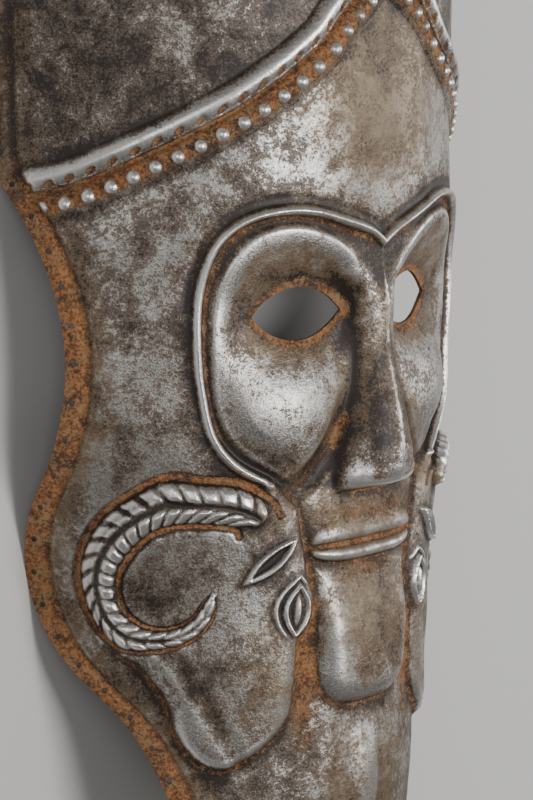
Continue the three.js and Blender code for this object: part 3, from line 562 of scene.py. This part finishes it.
def band_relief(s, y):
    """The rope roll with its pits and rim, and the beads on their bed."""
    _, above, in_pit, bead = on_band(s, y)
    roll = ROLL_HEIGHT * ridge((above - ROLL_OFFSET) / ROLL_HALF_WIDTH, 1.2)
    roll += RIM_HEIGHT * ridge((above - RIM_OFFSET) / RIM_HALF_WIDTH) - PIT_DEPTH * ridge(in_pit, 1)
    bed = BED_HEIGHT * ridge((above + BEAD_OFFSET) / BED_HALF_WIDTH, 0.8)
    return np.maximum(roll, bed + BEAD_HEIGHT * bead) - BAND_GROOVE * ridge(above / 1.2)


def relief(s, y):
    """Height of the embossing over the plain form, for s from 0 out."""
    inset = half_width(y) - s
    mask, nose = mask_relief(s, y), nose_surface(s, y)
    face = (mask + nose + np.sqrt((mask - nose) ** 2 + NOSE_BLEND**2)) / 2
    height = face + mouth_relief(s, y)
    on_beard = rounded(depth_inside(beard_field, s, y) + 1.3, BEARD_EDGE)
    beard = BEARD_HEIGHT * (0.5 + 0.5 * step((-BEARD_BELOW - y) / BEARD_HALF_WIDTH))
    height += on_beard * np.maximum(beard - height, 0)
    height += ram_relief(s, y) + band_relief(s, y)
    below_beard = (-BEARD_BELOW - BEARD_LENGTH - y) / BEARD_HALF_WIDTH
    height += RIDGE_HEIGHT * step(below_beard) * ridge(s / RIDGE_HALF_WIDTH)
    border = -BORDER_GROOVE * ridge((inset - BORDER_WIDTH - 1) / 3)
    return height * step((inset - BORDER_WIDTH) / BORDER_WIDTH) + border


def hammering(s, y):
    """The slight unevenness of sheet beaten by hand."""
    rng = np.random.default_rng(7)
    height = np.zeros(s.shape)
    for length in (90, 60, 42, 30, 21):
        for _ in range(3):
            turn, phase = rng.uniform(0, 2 * math.pi, 2)
            wave = np.sin((s * math.cos(turn) + y * math.sin(turn)) * 2 * math.pi / length + phase)
            height += 0.0022 * length * wave
    return height


def section(y):
    """Radius, flank angle and crown height of the plain form at a place along the plate."""
    radius = SECTION_RADIUS * follow(STATIONS, "along", "radius", share(y))
    flank = np.radians(follow(STATIONS, "along", "flank", share(y)))
    crown = CROWN_DROP * follow(STATIONS, "along", "crown", share(y))
    return radius, flank, crown


def end_sag(s, y):
    """How far a point near an end is moved along the plate, most at the edge."""
    reach = (s / full_width(y)) ** 2
    return END_SAG * reach * (step((BOTTOM - y) / SAG_REACH + 1) - step((y - TOP) / SAG_REACH + 1))


def lift(s, y, height):
    """Points of the developed sheet in space, raised by a height."""
    radius, flank, crown = section(y)
    turned = np.minimum(np.abs(s) / radius, flank)
    straight = np.maximum(np.abs(s) - radius * flank, 0)
    side = np.sign(s)
    x = side * (radius * np.sin(turned) + straight * np.cos(turned))
    z = crown - radius * (1 - np.cos(turned)) - straight * np.sin(turned)
    return np.stack([
        x + height * side * np.sin(turned), y + end_sag(s, y), z + height * np.cos(turned)
    ], -1)


def rest_tilt():
    """Tilt at which the edge touches the floor both above and below the eye line."""
    y = np.linspace(BOTTOM, TOP, 600)
    edge = lift(half_width(y), y, -SHEET)

    def lowest(tilt, part):
        return (edge[part, 1] * math.sin(tilt) + edge[part, 2] * math.cos(tilt)).min()

    low, high = -0.2, 0.2
    for _ in range(30):
        middle = (low + high) / 2
        if lowest(middle, y > 0) < lowest(middle, y <= 0):
            low = middle
        else:
            high = middle
    return (low + high) / 2, lowest((low + high) / 2, y > 0)


tilt, lowest_edge = rest_tilt()
laid = Matrix.Rotation(tilt, 4, "X")
laid.translation = Vector((0, 0, -lowest_edge - SEAT_DEPTH))
top_middle = laid @ Vector(lift(np.array(0.0), np.array(float(TOP)), 0.0))
laid.translation.y = cad_high.y / MM - top_middle.y


def place(points):
    """Points of the plate's design laid down in the frame, in metres."""
    turned = points @ np.array(laid.to_3x3()).T
    return (turned + np.array(laid.translation)) * MM


def row_places():
    """Places of the mesh's rows, close together in the embossing and at the round corners."""
    corner = CORNER_RADIUS * (1 - np.cos(np.linspace(0, math.pi / 2, 18)))
    low = np.arange(BOTTOM + CORNER_RADIUS, FINE_FROM, ROW_PLAIN)
    fine = np.arange(FINE_FROM, FINE_TO, ROW_FINE)
    high = np.arange(FINE_TO, TOP - CORNER_RADIUS, ROW_PLAIN)
    rows = np.concatenate([BOTTOM + corner[:-1], low, fine, high, TOP - corner[::-1]])
    return np.unique(rows.round(4))


def softened(grid, reach):
    """A chart with everything smaller than a reach, in millimetres, smoothed away."""
    pad = int(3 * reach / CHART_PITCH)
    wide = np.pad(grid, pad, mode="edge")
    rows, columns = np.fft.fftfreq(wide.shape[0]), np.fft.rfftfreq(wide.shape[1])
    spread = 2 * (math.pi * reach / CHART_PITCH) ** 2
    filtered = np.fft.rfft2(wide) * np.exp(-spread * (rows[:, None] ** 2 + columns[None] ** 2))
    return np.fft.irfft2(filtered, wide.shape)[pad:-pad, pad:-pad]


def read_chart(grid, s, y):
    """Values of a chart between its points."""
    i = np.clip((y - BOTTOM) / CHART_PITCH, 0, grid.shape[0] - 1.001)
    j = np.clip((s + CHART_REACH) / CHART_PITCH, 0, grid.shape[1] - 1.001)
    i0, j0 = i.astype(int), j.astype(int)
    di, dj = i - i0, j - j0
    if grid.ndim > 2:
        di, dj = di[..., None], dj[..., None]
    low = grid[i0, j0] * (1 - dj) + grid[i0, j0 + 1] * dj
    high = grid[i0 + 1, j0] * (1 - dj) + grid[i0 + 1, j0 + 1] * dj
    return low * (1 - di) + high * di


def normals_of(points):
    """Unit normals of a surface given on the chart."""
    across, along = np.gradient(points, axis=1), np.gradient(points, axis=0)
    normal = np.cross(across, along)
    return normal / np.linalg.norm(normal, axis=-1, keepdims=True)


chart_y = np.arange(BOTTOM, TOP + CHART_PITCH / 2, CHART_PITCH)
chart_s = np.arange(-CHART_REACH, CHART_REACH + CHART_PITCH / 2, CHART_PITCH)
middle_column = len(chart_s) // 2
half_y, half_s = np.meshgrid(chart_y, chart_s[middle_column:], indexing="ij")
half_face = relief(half_s, half_y)
all_y, all_s = np.meshgrid(chart_y, chart_s, indexing="ij")
inset = half_width(all_y) - np.abs(all_s)
face = np.hstack([half_face[:, :0:-1], half_face])
face = face + hammering(all_s, all_y) * step(inset / 12)
gentle = softened(face, 1.6)
back = face + 0.3 * np.tanh((gentle - face) / 0.3) - SHEET


def glow(distance, reach):
    """1 on a line or a place, fading out over a reach."""
    return np.exp(-((distance / reach) ** 2))


def finish_zones(s, y):
    """How rusty, dark and filmed with brown the iron tends to be at each place, about 0 to 1; the dark
    chart is patina with painted shade round the horn, just outside the loops and under the nose's tip,
    and a painted highlight on the cheek.
    """
    border = half_width(y) - s
    loop = nearest(loop_line, s, y)[0]
    dome = depth_inside(dome_line, s, y)
    in_loop = depth_inside(loop_field, s, y) > 0
    fold, passed, _ = nearest(fold_line, s, y)
    distance, above, in_pit, bead = on_band(s, y)
    over_band = np.where(distance < 900, above, np.where(y > 40, 50, -50))
    across = on_horn(s, y)[1]
    on_body = np.abs(across) < 1
    ram = depth_inside(ram_outline, s, y)
    jaw = nearest(jaw_line, s, y)[0]
    beard = depth_inside(beard_field, s, y)
    eye_line = almond(EYE_LENGTH, EYE_HEIGHT) + (EYE_ACROSS, -EYE_BELOW)
    eye = nearest(np.vstack([eye_line, eye_line[:1]]), s, y)[0]
    curl = np.hypot(s - CURL_ACROSS - 3, y + CURL_BELOW)
    lower = step((70 - y) / 60)
    beside_mouth = ~on_body & (ram < 0) & (beard < 0)

    rust = np.zeros(s.shape)
    for zone in (
        (0.4 + 0.4 * lower) * step((15 - border) / 9),
        0.85 * ridge((above + 3.4) / 6, 0.6) * (1 - bead),
        0.9 * ridge(in_pit / 1.2, 1),
        0.9 * glow(eye, 4),
        0.45 * glow(fold, 4.5) * step((-y - 30) / 15) * step(passed / 20),
        0.55 * bump(s, y, (6, -80), (34, 8)),
        0.7 * glow(y + MOUTH_BELOW, 1.6) * step((34 - s) / 6),
        0.55 * bump(s, y, (0, -103), (28, 6)),
        0.7 * glow(across - 1.3, 0.22),
        0.7 * glow(across + 1.2, 0.17),
        0.5 * glow(ram, 5) * (ram < 0) * step((-y - 55) / 15) * ~on_body,
        0.75 * bump(s, y, (31, -135), (9, 50)) * beside_mouth,
        0.35 * glow(jaw, 4) * ~on_body,
        0.5 * glow(beard, 5) * (beard < 0) * step((-y - 95) / 10),
        0.4 * bump(s, y, (16, -205), (6, 40)),
        0.4 * ((dome < 0) & in_loop) * step(-dome / 4) * step((y + 60) / 20),
    ):
        rust = np.maximum(rust, zone)
    # Patina, with painted shade round the horn's curl and foot, just outside the loops and under the
    # nose's tip, and a painted highlight on the cheek.
    dark = (
        0.3 * step((over_band - 9) / 14)
        + 0.5 * glow(above, 1.3)
        + 0.35 * ((dome < 0) & in_loop) * step((-dome - 1) / 3)
        # Darker round the curl of the horn: patina and painted shade.
        + 0.35 * glow(curl, 16)
        + 0.1 * step((s - 60) / 50) * step((60 - y) / 30) * step((y + 70) / 30)
        # Darker in a band just outside each loop: patina and painted shade.
        + 0.3 * glow(loop - 5.5, 4) * ~in_loop
        + 0.4 * bump(s, y, (9, -28), (4.5, 32))
        + 0.2 * glow(eye, 9)
        + 0.4 * ridge(across / 0.4) * on_body
        # Darker along the foot of the horn: patina and painted shade.
        + 0.25 * glow(np.abs(across) - 1.2, 0.3)
        + 0.3 * glow(ram, 3.5) * (ram < 0) * ~on_body
        # Less dark on the lower outer side of the cheek dome: a painted highlight.
        - 0.25 * bump(s, y, (CHEEK_ACROSS + 6, -CHEEK_BELOW - 2), (24, 24))
        - 0.1 * bump(s, y, (10, 60), (50, 40))
        # A small dark spot under the tip of the nose: painted shade of a slit.
        + 0.9 * bump(s, y, (5.5, -70), (3.5, 1))
        - 0.3 * bead
    )
    film = np.maximum.reduce([
        0.9 * bump(s, y, (0, 80), (42, 45)),
        0.6 * bump(s, y, (4, -20), (15, 45)),
        0.6 * glow(loop, 9) * step(y / 30),
        0.85 * glow(eye, 13) * (1 - 0.5 * step((-y - 14) / 14)),
        0.6 * (dome > 0) * step((y + 5) / 15) * (1 - 0.9 * glow(dome - 2.5, 3)),
        0.9 * bump(s, y, (10, -84), (32, 17)) * (1 - 0.5 * glow(y + MOUTH_BELOW - 5, 2.5)),
        0.85 * bump(s, y, (0, -120), (24, 32)),
        0.5 * step((26 - border) / 12),
        0.75 * glow(fold, 12) * step(-y / 20),
        0.55 * bump(s, y, (44, -140), (22, 34)),
        0.5 * bump(s, y, (12, -190), (20, 40)),
        0.35 * ((dome < 0) & in_loop),
    ])
    return rust, dark, film


zones = [np.hstack([z[:, :0:-1], z]) for z in finish_zones(half_s, half_y)]
finish_charts = dict(zip(("rusty", "dark", "film"), zones))
finish_charts["crest"] = (face - softened(face, 1.5)) / 0.3
finish_charts["swell"] = (face - softened(face, 5)) / 1.2


def unrolled(points):
    """Chart place and height of points in space."""
    flat = (points / MM - np.array(laid.translation)) @ np.array(laid.to_3x3())
    x, z = np.abs(flat[:, 0]), flat[:, 2]
    y = np.clip(flat[:, 1], BOTTOM, TOP)
    for _ in range(6):
        radius, flank, crown = section(y)
        middle = crown - radius
        angle = np.arctan2(x, z - middle)
        foot_x, foot_z = radius * np.sin(flank), middle + radius * np.cos(flank)
        beyond = (x - foot_x) * np.cos(flank) - (z - foot_z) * np.sin(flank)
        above = (x - foot_x) * np.sin(flank) + (z - foot_z) * np.cos(flank)
        on_flank = angle > flank
        s = np.where(on_flank, radius * flank + beyond, radius * angle)
        height = np.where(on_flank, above, np.hypot(x, z - middle) - radius)
        y = np.clip(flat[:, 1] - end_sag(s, y), BOTTOM, TOP)
    return s * np.sign(flat[:, 0]), y, height


def punch(cutters, outline, s, y, reach):
    """Adds a prism through the sheet, square to it at a point."""
    radius, flank, _ = section(np.array(float(y)))
    turned = np.sign(s) * min(abs(s) / radius, flank)
    height = relief(np.array([abs(float(s))]), np.array([float(y)]))[0] - SHEET / 2
    middle = Vector(lift(np.array(float(s)), np.array(float(y)), height))
    turn = Matrix.Rotation(turned, 4, "Y")
    verts = [cutters.verts.new(middle + turn @ Vector((*p, -reach))) for p in outline]
    face = cutters.faces.new(verts)
    grown = bmesh.ops.extrude_face_region(cutters, geom=[face])
    moved = [v for v in grown["geom"] if isinstance(v, bmesh.types.BMVert)]
    bmesh.ops.translate(cutters, verts=moved, vec=turn @ Vector((0, 0, 2 * reach)))


def hole_places():
    """An even row inside the edge, on one half of the sheet."""
    rows = row_places()
    y = np.concatenate([np.full(30, BOTTOM), rows, np.full(60, TOP)])
    low, high = np.linspace(0, half_width(BOTTOM), 30), np.linspace(half_width(TOP), 0, 60)
    s = np.concatenate([low, half_width(rows), high])
    edge = np.stack([s, y], 1)
    edge = edge[np.concatenate([[True], np.hypot(*np.diff(edge, axis=0).T) > 1e-6])]
    passed = np.concatenate([[0], np.cumsum(np.hypot(*np.diff(edge, axis=0).T))])
    count = round(passed[-1] / HOLE_PITCH)
    at = np.linspace(0, passed[-1], count + 1)
    point = np.stack([np.interp(at, passed, edge[:, k]) for k in (0, 1)], 1)
    ahead = np.stack([np.interp(at + 0.5, passed, edge[:, k]) for k in (0, 1)], 1)
    behind = np.stack([np.interp(at - 0.5, passed, edge[:, k]) for k in (0, 1)], 1)
    tangent = (ahead - behind) / np.hypot(*(ahead - behind).T)[:, None]
    inside = point + HOLE_INSET * np.stack([-tangent[:, 1], tangent[:, 0]], 1)
    return inside[inside[:, 0] > 0.3 * HOLE_PITCH]


def cutter_object():
    """The eyes' and the sewing holes' punches, as one mesh."""
    bm = bmesh.new()
    a = np.linspace(0, 2 * math.pi, HOLE_SIDES + 1)[:-1]
    ring = HOLE_DIAMETER / 2 * np.stack([np.cos(a), np.sin(a)], 1)
    for side in (1, -1):
        punch(bm, almond(EYE_LENGTH, EYE_HEIGHT), side * EYE_ACROSS, -EYE_BELOW, 4 * SHEET)
        for s, y in hole_places():
            punch(bm, ring, side * s, y, 2 * SHEET)
    bmesh.ops.recalc_face_normals(bm, faces=bm.faces)
    mesh = bpy.data.meshes.new("cutters")
    bm.to_mesh(mesh)
    bm.free()
    points = np.empty(len(mesh.vertices) * 3)
    mesh.vertices.foreach_get("co", points)
    mesh.vertices.foreach_set("co", place(points.reshape(-1, 3)).ravel())
    cutters = bpy.data.objects.new("cutters", mesh)
    bpy.context.scene.collection.objects.link(cutters)
    return cutters


def baked(obj):
    """The object's mesh with its modifiers applied."""
    graph = bpy.context.evaluated_depsgraph_get()
    mesh = bpy.data.meshes.new_from_object(obj.evaluated_get(graph))
    obj.modifiers.clear()
    obj.data = mesh
    return mesh


def fine_sheet():
    """The embossed sheet with its wall, its pierced eyes and its sewing holes."""
    rows = row_places()
    bm = bmesh.new()
    bmesh.ops.create_grid(bm, x_segments=COLUMNS, y_segments=len(rows) - 1, size=1)
    mesh = bpy.data.meshes.new("embossed_sheet")
    bm.to_mesh(mesh)
    bm.free()
    flat = np.empty(len(mesh.vertices) * 3)
    mesh.vertices.foreach_get("co", flat)
    flat = flat.reshape(-1, 3)
    row = np.rint((flat[:, 1] + 1) / 2 * (len(rows) - 1)).astype(int)

    y = rows[row]
    s = flat[:, 0] * half_width(y)
    outer = place(lift(s, y, read_chart(face, s, y)))
    inner = place(lift(s, y, read_chart(back, s, y)))
    mesh.vertices.foreach_set("co", outer.ravel())
    sheet = bpy.data.objects.new("embossed_sheet", mesh)
    bpy.context.scene.collection.objects.link(sheet)
    wall = sheet.modifiers.new("wall", "SOLIDIFY")
    wall.thickness = SHEET * MM
    wall.offset = -1
    mesh = baked(sheet)
    points = np.vstack([outer, inner])
    crown_limit = cad_high.z - 0.1 * MM
    over = np.maximum(points[:, 2] - crown_limit + MM, 0) / MM
    points[:, 2] += MM * (np.tanh(over) - over)
    points = np.clip(points, cad_low, cad_high)
    mesh.vertices.foreach_set("co", points.ravel())

    cutters = cutter_object()
    cut = sheet.modifiers.new("pierced", "BOOLEAN")
    cut.object = cutters
    cut.operation = "DIFFERENCE"
    cut.solver = "MANIFOLD"
    mesh = baked(sheet)
    bpy.data.objects.remove(cutters)
    triangles = sum(len(p.vertices) - 2 for p in mesh.polygons)
    fewer = sheet.modifiers.new("fewer", "DECIMATE")
    fewer.ratio = TRIANGLE_BUDGET / triangles
    mesh = baked(sheet)
    finish(mesh)
    print("sheet", triangles, "->", len(mesh.polygons), "triangles")
    return sheet


def finish(mesh):
    """Smooth shading: each corner takes the normal of the embossed surface under it."""
    count = len(mesh.vertices)
    points = np.empty(count * 3)
    mesh.vertices.foreach_get("co", points)
    points = np.clip(points.reshape(-1, 3), cad_low, cad_high)
    mesh.vertices.foreach_set("co", points.ravel())
    s, y, height = unrolled(points)
    through = (read_chart(face, s, y) - height) / SHEET
    corners = np.empty(len(mesh.loops), int)
    mesh.loops.foreach_get("vertex_index", corners)
    mesh.polygons.foreach_set("use_smooth", np.ones(len(mesh.polygons), bool))
    mesh.set_sharp_from_angle(angle=math.radians(SHARP_ANGLE))
    plain = np.empty(len(mesh.loops) * 3)
    mesh.corner_normals.foreach_get("vector", plain)
    normals = plain.reshape(-1, 3)
    first = np.empty(len(mesh.polygons), int)
    sides = np.empty(len(mesh.polygons), int)
    mesh.polygons.foreach_get("loop_start", first)
    mesh.polygons.foreach_get("loop_total", sides)
    least = np.repeat(np.minimum.reduceat(through[corners], first), sides)
    most = np.repeat(np.maximum.reduceat(through[corners], first), sides)
    turn = np.array(laid.to_3x3()).T
    outward = read_chart(normals_of(lift(all_s, all_y, face)), s, y) @ turn
    inward = -read_chart(normals_of(lift(all_s, all_y, back)), s, y) @ turn
    for chosen, exact in ((most < OUTER_SHARE, outward), (least > INNER_SHARE, inward)):
        normals[chosen] = exact[corners][chosen]
    mesh.normals_split_custom_set(normals / np.linalg.norm(normals, axis=1, keepdims=True))
    values = {name: read_chart(chart, s, y) for name, chart in finish_charts.items()}
    values["behind"] = np.clip(through, 0, 1)
    for name, value in values.items():
        kept = mesh.attributes.new(name, "FLOAT", "POINT")
        kept.data.foreach_set("value", value)


class Shade:
    """A material's nodes, put together like sums."""

    def __init__(self, name):
        self.material = bpy.data.materials.new(name)
        self.material.use_nodes = True
        self.tree = self.material.node_tree
        self.shader = self.tree.nodes["Principled BSDF"]
        self.place = self.add("ShaderNodeTexCoord").outputs["Object"]

    def add(self, kind, inputs=(), **settings):
        node = self.tree.nodes.new(kind)
        for name, value in settings.items():
            setattr(node, name, value)
        for key, value in dict(inputs).items():
            self.put(node.inputs[key], value)
        return node

    def put(self, socket, value):
        if isinstance(value, bpy.types.NodeSocket):
            self.tree.links.new(value, socket)
        else:
            socket.default_value = value

    def sum(self, operation, *values, clamp=False):
        node = self.add("ShaderNodeMath", enumerate(values), operation=operation, use_clamp=clamp)
        return node.outputs[0]

    def total(self, *values):
        """Sum of sockets and numbers, each a pair with its weight or alone."""
        result = None
        for value in values:
            if isinstance(value, tuple):
                value = self.sum("MULTIPLY", *value)
            result = value if result is None else self.sum("ADD", result, value)
        return result

    def noise(self, size, detail=4, roughness=0.55, distortion=0.0, shift=0.0, stretch=(1, 1, 1)):
        moved = self.add("ShaderNodeMapping", {
            "Vector": self.place, "Location": (shift, 1.7 * shift, -shift), "Scale": stretch,
        })
        inputs = {
            "Vector": moved.outputs[0], "Scale": 1 / (size * MM), "Detail": detail,
            "Roughness": roughness, "Distortion": distortion,
        }
        return self.add("ShaderNodeTexNoise", inputs).outputs[0]

    def soft(self, value, low, high, out_low=0.0, out_high=1.0):
        inputs = {0: value, 1: low, 2: high, 3: out_low, 4: out_high}
        return self.add("ShaderNodeMapRange", inputs, interpolation_type="SMOOTHSTEP").outputs[0]

    def blend(self, factor, a, b):
        a, b = ((*c, 1) if isinstance(c, tuple) else c for c in (a, b))
        return self.add("ShaderNodeMix", {0: factor, 6: a, 7: b}, data_type="RGBA").outputs[2]

    def kept(self, name):
        return self.add("ShaderNodeAttribute", attribute_name=name).outputs["Fac"]


def iron():
    """Old iron: worn bright metal, dark patina in blotches and speckles with painted shade and a painted
    highlight in its chart, and rust in the hollows.
    """
    m = Shade("iron")
    rusty, dark, filmed = m.kept("rusty"), m.kept("dark"), m.kept("film")
    crest, swell, behind = m.kept("crest"), m.kept("swell"), m.kept("behind")
    blotch = m.noise(30, 3, 0.55, 0.5)
    patch = m.noise(8.5, 4, 0.6, 0.5, 0.31)
    fleck = m.noise(1.5, 3, 0.6, 0.3, 0.77)
    grain = m.noise(0.7, 2, 0.5, 0, 0.13)
    crust = m.noise(5, 5, 0.65, 0.5, 0.52)

    worn = m.total((crest, 0.17), (swell, 0.1))
    mottle = m.total((blotch, 0.8), (patch, 0.8), (fleck, 0.85), (grain, 0.7))
    # The dark chart brings patina and also painted shade and a painted highlight into the stain.
    stain = m.total(mottle, (dark, 0.55), (rusty, 0.25), (worn, -0.9))
    thin = m.soft(stain, 1.46, 1.66)
    deep = m.soft(stain, 1.66, 1.9)
    silver = m.blend(m.soft(grain, 0.35, 0.65), DULL, SILVER)
    metal = m.blend(m.soft(worn, 0.05, 0.5), silver, POLISHED)
    clouds = m.total(filmed, (rusty, 0.4), (patch, 0.8), (crust, 0.7), (fleck, 0.4), (worn, -0.4))
    film = m.soft(clouds, 1.1, 1.6)
    brown = m.blend(m.soft(crust, 0.4, 0.62), FILM_OLIVE, FILM_BROWN)
    metal = m.blend(m.sum("MULTIPLY", film, 0.85), metal, brown)
    skin = m.blend(m.soft(fleck, 0.35, 0.65), PATINA_DARK, PATINA_PALE)
    skin = m.blend(m.sum("MULTIPLY", film, 0.6), skin, FILM_ON_PATINA)
    skin = m.blend(deep, skin, PATINA_DEEP)
    colour = m.blend(thin, metal, skin)

    tone = m.noise(1.3, 4, 0.65, 0.3, 0.91)
    ochre = m.blend(m.soft(tone, 0.34, 0.66), RUST_DARK, RUST_OCHRE)
    ochre = m.blend(m.soft(m.total(patch, (fleck, 0.8)), 0.86, 1.1), ochre, RUST_CRUST)
    ochre = m.blend(m.soft(m.total(crust, (grain, 0.6)), 0.8, 1.0), ochre, RUST_DUST)
    spread = m.total(rusty, (crust, 0.6), (patch, 0.4), (fleck, 0.6), (grain, 0.4), (worn, -0.4))
    rust = m.soft(spread, 1.42, 1.68)
    colour = m.blend(rust, colour, ochre)
    colour = m.blend(m.sum("MULTIPLY", behind, 0.75), colour, INSIDE_BROWN)

    m.put(m.shader.inputs["Base Color"], colour)
    coated = m.sum("MAXIMUM", m.sum("MULTIPLY", film, 0.6), rust)
    covered = m.sum("MAXIMUM", m.sum("MULTIPLY", thin, 0.75), coated)
    bare = m.sum("SUBTRACT", 1.0, covered, clamp=True)
    m.put(m.shader.inputs["Metallic"], m.sum("MULTIPLY", bare, 0.95))
    rubbed = m.soft(worn, 0.1, 0.6)
    rough = m.total(0.34, (thin, 0.1), (rust, 0.42), (fleck, 0.14), (rubbed, -0.06))
    m.put(m.shader.inputs["Roughness"], rough)
    crusted = m.sum("MULTIPLY", rust, m.total(0.5, (tone, 1.6)))
    height = m.total((grain, 0.35), (fleck, 0.6), (thin, 0.25), crusted)
    bump_node = m.add("ShaderNodeBump", {"Height": height, "Strength": 0.6, "Distance": 0.35 * MM})
    m.put(m.shader.inputs["Normal"], bump_node.outputs[0])
    return m.material


def floor():
    """The pale floor, which isn't part of the object."""
    bm = bmesh.new()
    bmesh.ops.create_grid(bm, x_segments=1, y_segments=1, size=6)
    mesh = bpy.data.meshes.new("floor")
    bm.to_mesh(mesh)
    bm.free()
    obj = bpy.data.objects.new("floor", mesh)
    bpy.context.scene.collection.objects.link(obj)
    material = bpy.data.materials.new("pale_floor")
    material.use_nodes = True
    shader = material.node_tree.nodes["Principled BSDF"]
    shader.inputs["Base Color"].default_value = (*FLOOR_GREY, 1)
    shader.inputs["Roughness"].default_value = 0.9
    mesh.materials.append(material)


def soft_light(name, where, towards, size, power):
    lamp = bpy.data.lights.new(name, "AREA")
    lamp.shape = "SQUARE"
    lamp.size = size
    lamp.energy = power
    obj = bpy.data.objects.new(name, lamp)
    obj.location = where
    obj.rotation_euler = (Vector(towards) - Vector(where)).to_track_quat("-Z", "Y").to_euler()
    bpy.context.scene.collection.objects.link(obj)


def studio():
    world = bpy.data.worlds.new("studio")
    world.use_nodes = True
    background = world.node_tree.nodes["Background"]
    background.inputs["Color"].default_value = (*AMBIENT, 1)
    background.inputs["Strength"].default_value = AMBIENT_STRENGTH
    bpy.context.scene.world = world
    middle = (0, 0, 0.05)
    soft_light("key", (0.15, 0.1, 1.5), middle, 0.7, 17)
    soft_light("fill", (-1.3, 0.4, 0.9), middle, 0.9, 6)
    soft_light("rim", (1.2, 0.1, 0.7), middle, 0.5, 5)


def camera():
    """A camera at the photograph's viewpoint."""
    turn, rise = math.radians(VIEW_TURN), math.radians(VIEW_RISE)
    right = Vector((math.cos(turn), 0, math.sin(turn)))
    ahead = Vector((math.sin(turn) * math.cos(rise), -math.sin(rise), -math.cos(turn) * math.cos(rise)))
    up = right.cross(ahead)
    off_right = (FRAME_WIDTH / 2 - EYE_LINE_PIXEL[0]) / PIXELS_PER_MM
    off_up = (EYE_LINE_PIXEL[1] - FRAME_HEIGHT / 2) / PIXELS_PER_MM
    target = off_right * right + off_up * up
    spot = laid @ (target - VIEW_DISTANCE * ahead)
    axes = laid.to_3x3() @ Matrix((right, up, -ahead)).transposed()
    cam = bpy.data.cameras.new("camera")
    cam.sensor_fit = "VERTICAL"
    cam.sensor_height = 24
    cam.lens = 24 * PIXELS_PER_MM * VIEW_DISTANCE / FRAME_HEIGHT
    cam.clip_start = 0.05
    obj = bpy.data.objects.new("camera", cam)
    obj.matrix_world = Matrix.Translation(spot * MM) @ axes.to_4x4()
    bpy.context.scene.collection.objects.link(obj)
    bpy.context.scene.camera = obj


camera()
floor()
studio()
plate = fine_sheet()
plate.data.materials.clear()
plate.data.materials.append(iron())
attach(plate, "root")
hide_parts("face_plate")
